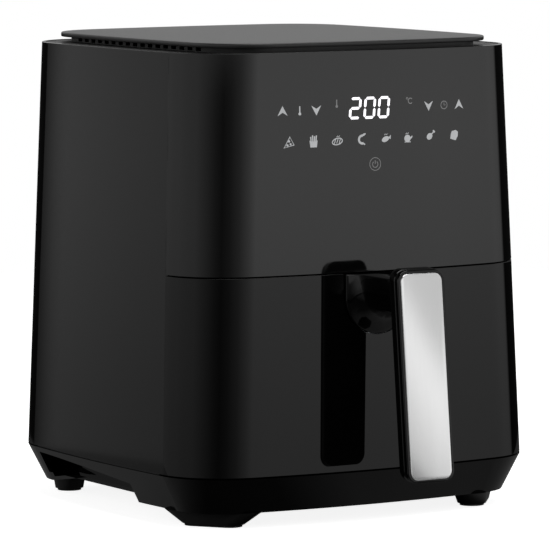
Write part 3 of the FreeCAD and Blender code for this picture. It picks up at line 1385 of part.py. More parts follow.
def make_drawer():
    inner = body_form("drawer_inner_form", "shell_wall + fit_gap", DRAWER_BOTTOM_Z, DRAWER_TOP_Z)
    trim_low = f"({DRAWER_TOP_Z} - trim_thickness - seam_gap)"
    trim_high = f"({DRAWER_TOP_Z} - seam_gap)"
    trim_slab = box("trim_slab", (f"-{WIDE}", WIDE), (f"-{DEEP}", COVER_BACK_Y), (trim_low, trim_high))
    notch_outline = root_clearance("trim_notch_outline")
    notch = extrude("trim_notch", notch_outline, f"{DEEP} + {ROOT_BACK_Y} + fit_gap", Vector(0, 1, 0))
    part("drawer_trim", cut("trim_shape", common("trim_block", inner, trim_slab), notch))

    cover_z = (f"{DRAWER_BOTTOM_Z} + shell_wall + fit_gap", f"{trim_low} - fit_gap")
    cover_slab = box("cover_slab", (f"-{WIDE}", WIDE), (COVER_FRONT_Y, COVER_BACK_Y), cover_z)
    screws = []
    for index, (sx, share) in enumerate((
        (-1, "pan_screw_low"), (1, "pan_screw_low"), (-1, "pan_screw_high"), (1, "pan_screw_high"),
    )):
        z = f"({DRAWER_BOTTOM_Z} + drawer_height * {share})"
        screws.append(screw(
            f"pan_screw_{index}", f"{sx} * ({PAN_HALF_WIDTH} - pan_screw_inset)", COVER_FRONT_Y, z,
            ALONG_Y, "cover_thickness + pan_wall / 2",
        ))
    pan_screws = part("pan_screws", group("pan_screw_group", screws))
    part("drawer_inner_cover", cut("cover_shape", common("cover_block", inner, cover_slab), pan_screws))

    body = start_body("pan_body", "0", PAN_MID_Y, PAN_FLOOR_Z)
    outline = body_sketch(body, "pan_outline")
    draw_rounded_rectangle(outline, PAN_HALF_WIDTH, PAN_HALF_DEPTH, "pan_radius")
    block = pad(body, outline, f"{PAN_RIM_Z} - {PAN_FLOOR_Z}")
    document.recompute()
    foot_edges = [
        f"Edge{index}" for index, edge in enumerate(block.Shape.Edges, start=1)
        if edge.BoundBox.ZMax < value("pan_foot_radius") / 10
    ]
    rounding = body.newObject("PartDesign::Fillet", "pan_foot_rounding")
    rounding.Base = (block, foot_edges)
    bind(rounding, "Radius", "pan_foot_radius")
    document.recompute()
    heights = [face.CenterOfMass.z for face in rounding.Shape.Faces]
    top_face = f"Face{heights.index(max(heights)) + 1}"
    hollow = body.newObject("PartDesign::Thickness", "pan_hollow")
    hollow.Base = (rounding, [top_face])
    bind(hollow, "Value", "pan_wall")
    hollow.Reversed = True
    rim = body_sketch(body, "pan_rim", f"{PAN_RIM_Z} - {PAN_FLOOR_Z} - pan_rim_height")
    draw_rounded_rectangle(
        rim, f"{PAN_HALF_WIDTH} + pan_rim_width", f"{PAN_HALF_DEPTH} - pan_rim_inset",
        "pan_radius + pan_rim_width",
    )
    draw_rounded_rectangle(
        rim, f"{PAN_HALF_WIDTH} - pan_wall", f"{PAN_HALF_DEPTH} - pan_wall", "pan_radius - pan_wall"
    )
    body.Tip = pad(body, rim, "pan_rim_height")
    part("drawer_pan", cut("pan_shape", body, pan_screws))


ROOT_BACK_Y = f"(-{half_depth_at(DRAWER_TOP_Z)} + shell_wall * 3)"


def make_tray():
    body = start_body("tray_body", "0", PAN_MID_Y, TRAY_Z)
    outline = body_sketch(body, "tray_outline")
    draw_rounded_rectangle(outline, TRAY_HALF_WIDTH, TRAY_HALF_DEPTH, "pan_radius - pan_wall - tray_gap")
    pad(body, outline, "tray_thickness")
    hole = body_sketch(body, "tray_hole")
    draw_circle(hole, "0", "0", "tray_hole_radius")
    columns = fitting_count(f"2 * {TRAY_HALF_WIDTH} - 2 * tray_leg_radius", "tray_hole_pitch")
    lines = fitting_count(f"2 * {TRAY_HALF_DEPTH} - 2 * tray_leg_radius", "tray_hole_pitch")
    repeat_in_grid(body, pocket(body, hole), columns, lines, "tray_hole_pitch")
    legs = []
    for index, (sx, sy) in enumerate(((-1, -1), (1, -1), (1, 1), (-1, 1))):
        legs.append(cylinder(
            f"tray_leg_{index}", f"{sx} * ({TRAY_HALF_WIDTH} - pan_radius)",
            f"{PAN_MID_Y} + {sy} * ({TRAY_HALF_DEPTH} - pan_radius)",
            f"{TRAY_Z} - tray_stand", "tray_leg_radius", "tray_stand + tray_thickness / 2",
        ))
    part("crisper_tray", fuse("tray_shape", body, *legs))

    bumpers = []
    for label, sign, half, sideways in (
        ("left", "-", TRAY_HALF_WIDTH, True), ("right", "", TRAY_HALF_WIDTH, True),
        ("front", "-", TRAY_HALF_DEPTH, False), ("back", "", TRAY_HALF_DEPTH, False),
    ):
        block = edge_box(
            f"{label}_bumper_block", sideways, "bumper_half_length",
            outward(sign, f"({half} - tray_gap)", f"({half} + tray_gap - fit_gap)"),
            (f"{TRAY_Z} - tray_thickness", f"{TRAY_Z} + tray_thickness * 2"),
        )
        slot = edge_box(
            f"{label}_bumper_slot", sideways, "bumper_half_length + overcut",
            outward(sign, f"({half} - tray_gap - overcut)", half),
            (TRAY_Z, f"{TRAY_Z} + tray_thickness"),
        )
        bumpers.append(cut(f"{label}_bumper", block, slot))
    part("tray_bumpers", group("bumper_group", bumpers))


def outward(sign, near, far):
    """The span between two distances from the middle, on the side that sign gives."""
    return (f"-{far}", f"-{near}") if sign else (near, far)


def edge_box(name, sideways, half_length, span, z):
    """A block at the middle of one of the tray's edges, its span counted from the tray's middle."""
    along = (f"-({half_length})", f"({half_length})")
    x, y = (span, along) if sideways else (along, span)
    return box(name, x, (f"{PAN_MID_Y} + {y[0]}", f"{PAN_MID_Y} + {y[1]}"), z)


# ---------------------------------------------------------------- the handle

FLARE_SHARES = (0, 0.12, 0.35, 1)       # how far along the flare each of its sections is


def leaning_block(name, half_width, half_length, radius, front, back):
    """A rounded slab that leans out towards its lower end; front and back count inwards from its face."""
    middle_y = f"-grip_reach_top - sin(grip_lean) * grip_length / 2 + cos(grip_lean) * ({front})"
    middle_z = f"{GRIP_TOP_Z} - cos(grip_lean) * grip_length / 2 + sin(grip_lean) * ({front})"
    sketch = add_sketch(f"{name}_outline", "0", middle_y, middle_z, UPRIGHT_Y)
    bind(sketch, "Placement.Rotation.Angle", "90 - grip_lean")
    draw_rounded_rectangle(sketch, half_width, half_length, radius)
    angle = math.radians(value("grip_lean"))
    return extrude(name, sketch, f"({back}) - ({front})", Vector(0, math.cos(angle), math.sin(angle)))


def make_handle():
    half_length = "(grip_length / 2)"
    bezel_back = "(plate_thickness + bezel_depth)"
    bezel = leaning_block(
        "bezel_block", "grip_half_width", f"{half_length} + bezel_lip", "grip_corner",
        "bezel_setback", bezel_back,
    )
    bed = leaning_block(
        "bezel_bed", "plate_half_width", half_length, "plate_corner", "-overcut", "plate_thickness"
    )
    part("handle_bezel", cut("bezel_shape", bezel, bed))
    part("handle_plate", leaning_block(
        "plate_block", "plate_half_width", half_length, "plate_corner", "0", "plate_thickness"
    ))
    bar = leaning_block(
        "grip_bar", "grip_half_width", f"{half_length} + bezel_lip", "grip_corner",
        bezel_back, "grip_depth",
    )
    surface_y = f"(-{half_depth_at(DRAWER_TOP_Z)} - flange_proud)"
    root_top = f"{DRAWER_TOP_Z} - seam_gap / 2"
    neck_start = "(-grip_reach_top + grip_depth - neck_overlap)"
    neck_outline = tongue(
        "neck_outline", "neck_half_width", root_top, f"{DRAWER_TOP_Z} - neck_height", neck_start
    )
    neck = extrude("grip_neck", neck_outline, f"{surface_y} - {neck_start}", Vector(0, 1, 0))
    sections = []
    for index, share in enumerate(FLARE_SHARES):
        spread = f"pow(1 - {share}; 2)"
        wide = f"(neck_half_width + (flange_half_width - neck_half_width) * {spread})"
        tall = f"(neck_height + (flange_height - neck_height) * {spread})"
        sections.append(tongue(
            f"flare_{index}", wide, root_top, f"{DRAWER_TOP_Z} - {tall}",
            f"{surface_y} - flare_length * {share}",
        ))
    flare = loft("grip_flare", sections)
    root_outline = tongue(
        "root_outline", "flange_half_width", root_top, f"{DRAWER_TOP_Z} - flange_height", surface_y
    )
    root = extrude("grip_root", root_outline, f"{ROOT_BACK_Y} - {surface_y}", Vector(0, 1, 0))
    grip = fuse("grip_block", bar, neck, flare, root)

    bracket = box(
        "bracket_strip",
        ("-neck_half_width", "neck_half_width"),
        (ROOT_BACK_Y, f"{ROOT_BACK_Y} + sheet_wall * 2"),
        (f"{DRAWER_TOP_Z} - flange_height - trim_thickness * 4", f"{DRAWER_TOP_Z} - trim_thickness * 3"),
    )
    screws = [
        screw(
            f"handle_screw_{label}", f"{sign} * handle_screw_pitch / 2", f"{ROOT_BACK_Y} + sheet_wall * 2",
            f"{DRAWER_TOP_Z} - flange_height / 2", BACKWARD_Y, "handle_screw_length",
        )
        for label, sign in (("left", -1), ("right", 1))
    ]
    handle_screws = part("handle_screws", group("handle_screw_group", screws))
    part("handle_grip", cut("grip_shape", grip, handle_screws))
    part("handle_bracket", cut("handle_bracket_shape", bracket, handle_screws))


make_shells()
make_lid()
make_base()
make_feet()
make_chamber()
make_dome()
make_heater()
make_exhaust()
make_motor()
make_electrics()
make_drawer()
make_tray()
make_handle()
document.recompute()

faults = [item.Name for item in document.Objects if {"Invalid", "Error"} & set(item.State)]
faults += [item.Label for item in parts if item.Shape.isNull() or not item.Shape.isValid()]
if faults:
    raise RuntimeError("these did not build: " + ", ".join(faults))

os.makedirs("parts", exist_ok=True)
for item in parts:
    item.Shape.exportStep(f"parts/{item.Label}.step")
print(len(parts), "pieces written")
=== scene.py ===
import math
import bmesh
import bpy
from mathutils import Matrix, Vector


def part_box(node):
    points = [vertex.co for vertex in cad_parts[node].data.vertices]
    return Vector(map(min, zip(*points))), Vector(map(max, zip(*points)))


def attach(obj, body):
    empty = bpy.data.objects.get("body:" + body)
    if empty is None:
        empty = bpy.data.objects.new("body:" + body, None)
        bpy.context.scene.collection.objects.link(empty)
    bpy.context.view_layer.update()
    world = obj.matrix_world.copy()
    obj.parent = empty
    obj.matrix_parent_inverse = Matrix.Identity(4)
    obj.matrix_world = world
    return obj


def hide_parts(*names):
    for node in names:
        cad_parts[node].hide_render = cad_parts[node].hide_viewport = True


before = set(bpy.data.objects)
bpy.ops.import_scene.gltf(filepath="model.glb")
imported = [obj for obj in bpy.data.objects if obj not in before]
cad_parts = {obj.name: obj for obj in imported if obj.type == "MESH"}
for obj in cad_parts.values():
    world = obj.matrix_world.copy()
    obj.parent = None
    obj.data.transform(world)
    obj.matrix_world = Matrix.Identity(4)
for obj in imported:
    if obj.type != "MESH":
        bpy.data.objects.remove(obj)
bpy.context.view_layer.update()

MM = 0.001
MIDDLE_Y = 31.16
WHITE = (1, 1, 1, 1)


# ---------------------------------------------------------------- the studio

def make_camera(bearing=-30.41, rise=5.45, tilt=-0.26, distance=3.219, lens=315.1, shift=0.0075):
    """At the front left, a little above the table, and far off with a long lens."""
    azimuth, elevation, roll = (math.radians(turn) for turn in (bearing, rise, tilt))
    out = math.cos(elevation)
    back = Vector((math.sin(azimuth) * out, -math.cos(azimuth) * out, math.sin(elevation)))
    level = Vector((math.cos(azimuth), math.sin(azimuth), 0))
    plumb = back.cross(level)
    right = level * math.cos(roll) + plumb * math.sin(roll)
    up = back.cross(right)
    aim = Vector((0, MIDDLE_Y, 149.2)) * MM
    camera = shown("camera", bpy.data.cameras.new("camera"))
    turn = Matrix((right, up, back)).transposed().to_4x4()
    camera.matrix_world = Matrix.Translation(aim + back * distance) @ turn
    camera.data.lens = lens
    camera.data.sensor_width = 36
    camera.data.shift_x = shift
    camera.data.clip_end = 50
    bpy.context.scene.camera = camera


# ---------------------------------------------------------------- shader maths

class Wire:
    """An output socket that Python's operators work on."""

    def __init__(self, graph, socket):
        self.graph = graph
        self.socket = socket

    def math(self, operation, other=None, swapped=False):
        values = [self] if other is None else [other, self] if swapped else [self, other]
        return self.graph.node("ShaderNodeMath", {"operation": operation}, dict(enumerate(values)))[0]

    def __add__(self, other):
        return self.math("ADD", other)

    def __sub__(self, other):
        return self.math("SUBTRACT", other)

    def __rsub__(self, other):
        return self.math("SUBTRACT", other, swapped=True)

    def __mul__(self, other):
        return self.math("MULTIPLY", other)

    def __truediv__(self, other):
        return self.math("DIVIDE", other)

    __radd__ = __add__
    __rmul__ = __mul__

    def ramp(self, low, high, out_low=0.0, out_high=1.0):
        """Runs smoothly from out_low to out_high as this runs from low to high."""
        return self.graph.node(
            "ShaderNodeMapRange", {"interpolation_type": "SMOOTHSTEP"},
            {"Value": self, "From Min": low, "From Max": high, "To Min": out_low, "To Max": out_high},
        )["Result"]


class Graph:
    """A tree of nodes being built."""

    def __init__(self, tree):
        self.tree = tree
        self.tree.nodes.clear()

    def node(self, kind, settings=(), inputs=()):
        """Adds a node: its settings first, then its sockets' values or links. Gives its outputs."""
        made = self.tree.nodes.new(kind)
        for key, setting in dict(settings).items():
            if key == "stops":
                set_stops(made.color_ramp, setting)
            else:
                setattr(made, key, setting)
        for key, given in dict(inputs).items():
            for one in given if isinstance(given, list) else [given]:
                if isinstance(one, Wire):
                    self.tree.links.new(one.socket, made.inputs[key])
                else:
                    made.inputs[key].default_value = one
        return Outputs(self, made)


class Paint(Graph):
    """A material being built."""

    def __init__(self, name):
        self.material = bpy.data.materials.new(name)
        self.material.use_nodes = True
        super().__init__(self.material.node_tree)

    def place(self):
        """Where a point is on the piece, in metres."""
        return self.node("ShaderNodeTexCoord")["Object"]

    def axes(self):
        parts = self.node("ShaderNodeSeparateXYZ", inputs={0: self.place()})
        return parts["X"], parts["Y"], parts["Z"]

    def stretched(self, scale):
        return self.node("ShaderNodeMapping", inputs={"Vector": self.place(), "Scale": scale})["Vector"]

    def noise(self, scale, detail, stretch=None):
        place = self.place() if stretch is None else self.stretched(stretch)
        inputs = {"Vector": place, "Scale": scale, "Detail": detail}
        return self.node("ShaderNodeTexNoise", inputs=inputs)["Fac"]

    def mix(self, share, first, second):
        inputs = {0: share, 6: rgba(first), 7: rgba(second)}
        return self.node("ShaderNodeMix", {"data_type": "RGBA"}, inputs)[2]

    def bump(self, height, depth, strength):
        inputs = {"Height": height, "Distance": depth, "Strength": strength}
        return self.node("ShaderNodeBump", inputs=inputs)["Normal"]

    def round_about(self, stops, middle=0.0):
        """A level set by the bearing from a middle on the Y axis, in degrees from the front to the left."""
        x, y, _ = self.axes()
        bearing = (x * -1).math("ARCTAN2", y * -1 + middle) / (2 * math.pi) + 0.5
        shares = [((turn + 180) / 360, level) for turn, level in stops]
        around = self.node("ShaderNodeValToRGB", {"stops": shares}, {0: bearing})["Color"]
        return self.node("ShaderNodeRGBToBW", inputs={0: around})[0]

    def surface(self, **inputs):
        """The finish itself, with its sockets given by name."""
        named = {
            key.replace("_", " ").title().replace("Ior", "IOR"): given for key, given in inputs.items()
        }
        return self.ended(self.node("ShaderNodeBsdfPrincipled", inputs=named))

    def glow(self, strength):
        return self.node("ShaderNodeEmission", inputs={"Color": WHITE, "Strength": strength})

    def ended(self, shader):
        self.node("ShaderNodeOutputMaterial", inputs={"Surface": shader[0]})
        return self.material


class Outputs:
    """A node's outputs, by name or by place."""

    def __init__(self, graph, made):
        self.graph = graph
        self.made = made

    def __getitem__(self, key):
        return Wire(self.graph, self.made.outputs[key])


def set_stops(ramp, stops):
    while len(ramp.elements) > 1:
        ramp.elements.remove(ramp.elements[-1])
    for index, (position, colour) in enumerate(stops):
        element = ramp.elements[0] if index == 0 else ramp.elements.new(position)
        element.position = position
        element.color = rgba(colour)


def rgba(colour):
    """A colour's four numbers, from a grey or from red, green and blue. A wire stays as it is."""
    if isinstance(colour, Wire):
        return colour
    return (colour, colour, colour, 1) if isinstance(colour, (int, float)) else (*colour, 1)


# ---------------------------------------------------------------- finishes

def polished_plastic(name, tint, ior, haze=0.035):
    """High-gloss moulded plastic: nearly black, with faint haze and the slightest flow waves."""
    paint = Paint(name)
    cloud = paint.noise(35, 3)
    swirl = paint.noise(420, 2)
    flow = paint.noise(9, 1)
    return paint.surface(
        base_color=paint.mix(cloud, tint * 0.8, tint * 1.2),
        roughness=swirl.ramp(0.3, 0.8, haze, haze * 1.9) + cloud * (haze * 0.5),
        ior=ior,
        normal=paint.bump(flow, 0.00006, 0.35),
    )


def moulded_plastic(name, tint, gloss, grain, depth, ior=1.48):
    """Spark-textured moulded plastic."""
    paint = Paint(name)
    fine = paint.noise(grain, 2)
    patch = paint.noise(24, 3)
    return paint.surface(
        base_color=paint.mix(patch, tint * 0.8, tint * 1.25),
        roughness=fine.ramp(0.25, 0.75, gloss - 0.05, gloss + 0.07),
        ior=ior,
        normal=paint.bump(fine, depth, 0.5),
    )


def gloss_black():
    return polished_plastic("gloss_black", 0.0022, 1.43, 0.01)


def panel_gloss():
    """The control panel's smoked face, which mirrors a little more than the rest."""
    return polished_plastic("panel_gloss", 0.003, 1.56)


def satin_black():
    return polished_plastic("satin_black", 0.003, 1.48, 0.05)


def matte_black():
    return moulded_plastic("matte_black", 0.012, 0.42, 1500, 0.00004)


def lid_satin():
    """The lid's satin top, finely sprayed."""
    paint = Paint("lid_satin")
    spray = paint.noise(2600, 2)
    patch = paint.noise(14, 2)
    return paint.surface(
        base_color=paint.mix(patch, 0.022, 0.03),
        roughness=spray.ramp(0.3, 0.7, 0.3, 0.38),
        ior=1.5,
        normal=paint.bump(spray, 0.00002, 0.4),
    )


def brushed_silver():
    """Brushed and clear-coated silver, its strokes along the handle."""
    paint = Paint("brushed_silver")
    strokes = paint.noise(1, 4, (2600, 2600, 26))
    broad = paint.noise(1, 2, (420, 420, 9))
    wear = paint.noise(60, 2)
    return paint.surface(
        base_color=paint.mix(strokes, 0.9, 0.98),
        metallic=0.92,
        roughness=strokes * 0.1 + broad * 0.05 + wear * 0.03 + 0.1,
        coat_weight=0.25,
        coat_roughness=0.2,
        normal=paint.bump(strokes, 0.000015, 0.5),
    )


def metal(name, tint, roughness, grain, spots=0.0):
    """Bare metal with rolling or casting marks, and darker spots where it has aged."""
    paint = Paint(name)
    marks = paint.noise(grain, 3)
    age = paint.noise(70, 4).ramp(0.5, 0.72) * spots
    dark = tuple(part * 0.55 for part in tint)
    return paint.surface(
        base_color=paint.mix(age, tint, dark),
        metallic=1.0,
        roughness=marks.ramp(0.3, 0.7, roughness - 0.08, roughness + 0.1) + age * 0.15,
        normal=paint.bump(marks, 0.00002, 0.4),
    )


def aluminised_steel():
    """Spangled coated sheet, as hot chambers are made of."""
    paint = Paint("aluminised_steel")
    cells = paint.node("ShaderNodeTexVoronoi", inputs={"Vector": paint.place(), "Scale": 260})
    spangle = cells["Color"]
    shade = paint.node("ShaderNodeSeparateColor", inputs={0: spangle})[0]
    stain = paint.noise(30, 4).ramp(0.52, 0.78)
    return paint.surface(
        base_color=paint.mix(stain * 0.4, (0.5, 0.5, 0.49), (0.3, 0.25, 0.2)),
        metallic=0.95,
        roughness=shade * 0.14 + stain * 0.12 + 0.3,
        normal=paint.bump(shade, 0.00001, 0.4),
    )


def heater_steel():
    """The element's sheath, dark and lightly scaled from heat."""
    paint = Paint("heater_steel")
    scale = paint.noise(700, 4)
    blue = paint.noise(40, 2).ramp(0.4, 0.65)
    return paint.surface(
        base_color=paint.mix(blue, (0.085, 0.08, 0.078), (0.06, 0.062, 0.075)),
        metallic=0.55,
        roughness=scale * 0.25 + 0.42,
        normal=paint.bump(scale, 0.00006, 0.6),
    )


def steel():
    return metal("steel", (0.56, 0.56, 0.55), 0.3, 900)


def zinc():
    return metal("zinc", (0.6, 0.62, 0.64), 0.36, 500, spots=0.4)


def aluminium():
    return metal("aluminium", (0.72, 0.72, 0.73), 0.34, 260, spots=0.2)


def laminations():
    """The edges of stacked steel sheets, half a millimetre apart."""
    paint = Paint("laminations")
    height = paint.axes()[2]
    sheets = (height * (2 * math.pi / 0.0005)).math("SINE")
    stain = paint.noise(120, 3)
    return paint.surface(
        base_color=paint.mix(stain, (0.2, 0.2, 0.2), (0.33, 0.32, 0.3)),
        metallic=0.8,
        roughness=stain * 0.2 + 0.4,
        normal=paint.bump(sheets, 0.00005, 0.5),
    )


def copper_wire():
    paint = Paint("copper_wire")
    varnish = paint.noise(300, 3)
    return paint.surface(
        base_color=paint.mix(varnish, (0.42, 0.13, 0.05), (0.6, 0.22, 0.09)),
        metallic=0.9,
        roughness=varnish * 0.2 + 0.25,
        coat_weight=0.5,
        normal=paint.bump(varnish, 0.00003, 0.4),
    )


def ceramic_white():
    paint = Paint("ceramic_white")
    grain = paint.noise(900, 3)
    soot = paint.noise(90, 3).ramp(0.5, 0.8)
    return paint.surface(
        base_color=paint.mix(soot * 0.5, (0.78, 0.76, 0.7), (0.45, 0.4, 0.33)),
        roughness=grain * 0.2 + 0.5,
        normal=paint.bump(grain, 0.00004, 0.5),
    )


def board_green():
    """A circuit board: green varnish over paler tracks."""
    paint = Paint("board_green")
    across, _, up = paint.axes()
    weave = (across * 4200).math("SINE") * (up * 4200).math("SINE")
    tracks = paint.noise(160, 1).ramp(0.5, 0.53)
    return paint.surface(
        base_color=paint.mix(tracks, (0.01, 0.075, 0.03), (0.02, 0.13, 0.05)),
        roughness=tracks * 0.08 + 0.28,
        coat_weight=0.3,
        normal=paint.bump(tracks + weave * 0.1, 0.00003, 0.6),
    )


def display_black():
    return moulded_plastic("display_black", 0.008, 0.3, 900, 0.00002)


def nylon():
    """Natural nylon."""
    paint = Paint("nylon")
    cloud = paint.noise(50, 2)
    return paint.surface(
        base_color=paint.mix(cloud, (0.62, 0.6, 0.54), (0.72, 0.7, 0.65)),
        roughness=cloud * 0.15 + 0.38,
        subsurface_weight=0.1,
        subsurface_radius=(0.002, 0.002, 0.0015),
        normal=paint.bump(paint.noise(800, 2), 0.00002, 0.4),
    )


def rubber():
    return moulded_plastic("rubber", 0.018, 0.72, 1100, 0.00006, 1.5)


def silicone():
    return moulded_plastic("silicone", 0.03, 0.5, 700, 0.00003, 1.41)


def pan_coating():
    """Non-stick coating: dark grey, satin, speckled and faintly pebbled."""
    paint = Paint("pan_coating")
    pebble = paint.noise(900, 3)
    speck = paint.noise(1900, 1).ramp(0.66, 0.72)
    film = paint.noise(18, 3)
    return paint.surface(
        base_color=paint.mix(speck * 0.5, (0.022, 0.022, 0.023), (0.12, 0.12, 0.12)),
        roughness=pebble * 0.14 + film * 0.12 + 0.26,
        metallic=0.1,
        normal=paint.bump(pebble, 0.00005, 0.5),
    )


def legend_ink():
    """The panel's grey legends, softly lit from behind."""
    paint = Paint("legend_ink")
    dots = paint.noise(1700, 2)
    uneven = paint.noise(130, 2)
    return paint.surface(
        base_color=paint.mix(dots, 0.32, 0.4),
        roughness=dots * 0.1 + 0.3,
        emission_color=paint.mix(uneven, (0.25, 0.26, 0.27), (0.42, 0.43, 0.44)),
        emission_strength=0.8,
    )


def faint_ink():
    """The legends that are off, or only just lit."""
    paint = Paint("faint_ink")
    dots = paint.noise(1700, 2)
    return paint.surface(
        base_color=paint.mix(dots, 0.12, 0.18),
        roughness=dots * 0.1 + 0.3,
        emission_color=paint.mix(dots, 0.1, 0.2),
        emission_strength=0.8,
    )


def lit_segment():
    """A lit segment of the display: white, with a breath of violet."""
    paint = Paint("lit_segment")
    grain = paint.noise(900, 1)
    return paint.surface(
        base_color=(0.8, 0.8, 0.8, 1),
        roughness=grain * 0.1 + 0.3,
        emission_color=paint.mix(grain, (0.93, 0.9, 1.0), (1.0, 0.98, 1.0)),
        emission_strength=1.15,
    )


packed_finish = {name: node.data.materials[0].name for name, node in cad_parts.items()}
for packed in bpy.data.materials:
    packed.name = f"packed_{packed.name}"
FINISH = {
    make.__name__: make() for make in (
        gloss_black, panel_gloss, satin_black, matte_black, lid_satin, brushed_silver, rubber, silicone,
        pan_coating, aluminised_steel, heater_steel, steel, zinc, aluminium, laminations, copper_wire,
        ceramic_white, board_green, display_black, nylon, legend_ink, faint_ink, lit_segment,
    )
}


# ---------------------------------------------------------------- the body's outline

# The body's sides and front are bowed, and it draws in towards the top.
SEAM_Z = 33.5
TOP_Z = 304.8
HALF_WIDTH = (135.9, 125.6)
HALF_DEPTH = (138.8, 131.2)
SIDE_BOW = 1430
FRONT_BOW = 660
CORNER = 47
LID_CORNER = 42
SHELL_WALL = 2.5
SEAM_GAP = 0.8
FRONT_SEAM = (-89.6, -84.0)
REAR_SEAM = 78


def part_way(pair, z):
    """What a size that changes evenly from the base seam to the top is at a height."""
    return pair[0] + (pair[1] - pair[0]) * (z - SEAM_Z) / (TOP_Z - SEAM_Z)


class Outline:
    """The bowed outline at one height, drawn in by an inset."""

    def __init__(self, half_width, half_depth, inset, corner):
        self.side_x = half_width - SIDE_BOW
        self.front_y = half_depth - FRONT_BOW
        self.side = SIDE_BOW - inset
        self.front = FRONT_BOW - inset
        self.corner = corner - inset
        side_reach = self.side - self.corner
        front_reach = self.front - self.corner
        apart = math.hypot(self.side_x, self.front_y)
        along = (side_reach ** 2 - front_reach ** 2 + apart ** 2) / (2 * apart)
        across = math.sqrt(side_reach ** 2 - along ** 2)
        unit = (-self.side_x / apart, self.front_y / apart)
        self.corner_x = self.side_x + unit[0] * along + unit[1] * across
        self.corner_y = unit[1] * along - unit[0] * across
        if self.corner_y < 0:
            self.corner_x = self.side_x + unit[0] * along - unit[1] * across
            self.corner_y = unit[1] * along + unit[0] * across
        self.side_end = math.atan2(self.corner_y, self.corner_x - self.side_x)
        self.front_end = math.atan2(self.corner_x, self.corner_y - self.front_y)

    def side_at(self, turn):
        return self.side_x + self.side * math.cos(turn), self.side * math.sin(turn)

    def corner_at(self, turn):
        return self.corner_x + self.corner * math.cos(turn), self.corner_y + self.corner * math.sin(turn)

    def front_at(self, turn):
        """On the bow that faces along Y, the turn counted from the Y axis."""
        return self.front * math.sin(turn), self.front_y + self.front * math.cos(turn)

    def run(self, y_start, x_end, steps=(10, 18, 30)):
        """From y_start on the right-hand side, round the corner at +Y, to x_end on the face beyond."""
        first = math.asin(y_start / self.side)
        last = math.asin(x_end / self.front)
        bend = spread(self.side_end, math.pi / 2 - self.front_end, steps[1])
        points = [self.side_at(turn) for turn in spread(first, self.side_end, steps[0])[:-1]]
        points += [self.corner_at(turn) for turn in bend[:-1]]
        return points + [self.front_at(turn) for turn in spread(self.front_end, last, steps[2])]


def spread(low, high, steps):
    return [low + (high - low) * step / steps for step in range(steps + 1)]


def body_outline(z, inset=0.0):
    return Outline(part_way(HALF_WIDTH, z), part_way(HALF_DEPTH, z), inset, CORNER)


def round_body(outline):
    """All the way round an outline."""
    quarter = outline.run(0, 0, (8, 14, 12))
    loop = quarter[:-1] + [(-x, y) for x, y in quarter[::-1]][:-1]
    return loop + [(-x, -y) for x, y in quarter][:-1] + [(x, -y) for x, y in quarter[::-1]][:-1]


def front_path(z, inset, trim=0.0):
    """Round the front, from the seam on the left to the seam on the right."""
    quarter = body_outline(z, inset).run(-part_way(FRONT_SEAM, z) - trim, 0)
    left = [(-x, -y) for x, y in quarter]
    return left + [(-x, y) for x, y in reversed(left[:-1])]


def side_path(side):
    def path(z, inset, trim=0.0):
        """Along one side, from the front seam, round the rear corner to the rear seam."""
        start = part_way(FRONT_SEAM, z) + SEAM_GAP + trim
        quarter = body_outline(z, inset).run(start, REAR_SEAM + trim, (40, 18, 12))
        points = [(side * x, y) for x, y in quarter]
        return points if side > 0 else points[::-1]
    return path


# ---------------------------------------------------------------- making meshes

# Edges that turn by more than this are sharp.
SHARP = math.radians(35)


def shown(name, data):
    """An object in the scene, at its origin."""
    made = bpy.data.objects.new(name, data)
    bpy.context.scene.collection.objects.link(made)
    return made


def piece(name, mesh, body, finish, node=None):
    """A finished piece that rides on a body, given its finish if it has none. One that stands for a CAD node
    hides that node.
    """
    made = shown(name, mesh)
    if not mesh.materials:
        mesh.materials.append(FINISH[finish])
    if node:
        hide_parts(node)
    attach(made, body)


def to_mesh(name, shape, placed=True):
    """Turns millimetres about the body's middle into metres in the row's frame, and shades it."""
    for vertex in shape.verts:
        vertex.co = (vertex.co + Vector((0, MIDDLE_Y if placed else 0, 0))) * MM
    bmesh.ops.recalc_face_normals(shape, faces=shape.faces)
    for face in shape.faces:
        face.smooth = True
    for edge in shape.edges:
        edge.smooth = len(edge.link_faces) == 2 and edge.calc_face_angle(0) < SHARP
    mesh = bpy.data.meshes.new(name)
    shape.to_mesh(mesh)
    shape.free()
    return mesh


def skin(rings, capped=True):
    """Joins rings of points into a surface, with its ends closed by flat faces."""
    shape = bmesh.new()
    add_skin(shape, [[shape.verts.new(point) for point in ring] for ring in rings], capped)
    return shape


def add_skin(shape, rows, capped=True):
    for first, second in zip(rows, rows[1:]):
        for index in range(len(first)):
            after = (index + 1) % len(first)
            shape.faces.new((first[index], first[after], second[after], second[index]))
    if capped:
        shape.faces.new(rows[0][::-1])
        shape.faces.new(rows[-1])


def quarter_round(radius, steps):
    """The steps of a softened edge: how far in from one face, and how far in from the other."""
    turns = spread(0, math.pi / 2, steps)
    return [(radius * (1 - math.sin(turn)), radius * (1 - math.cos(turn))) for turn in turns]


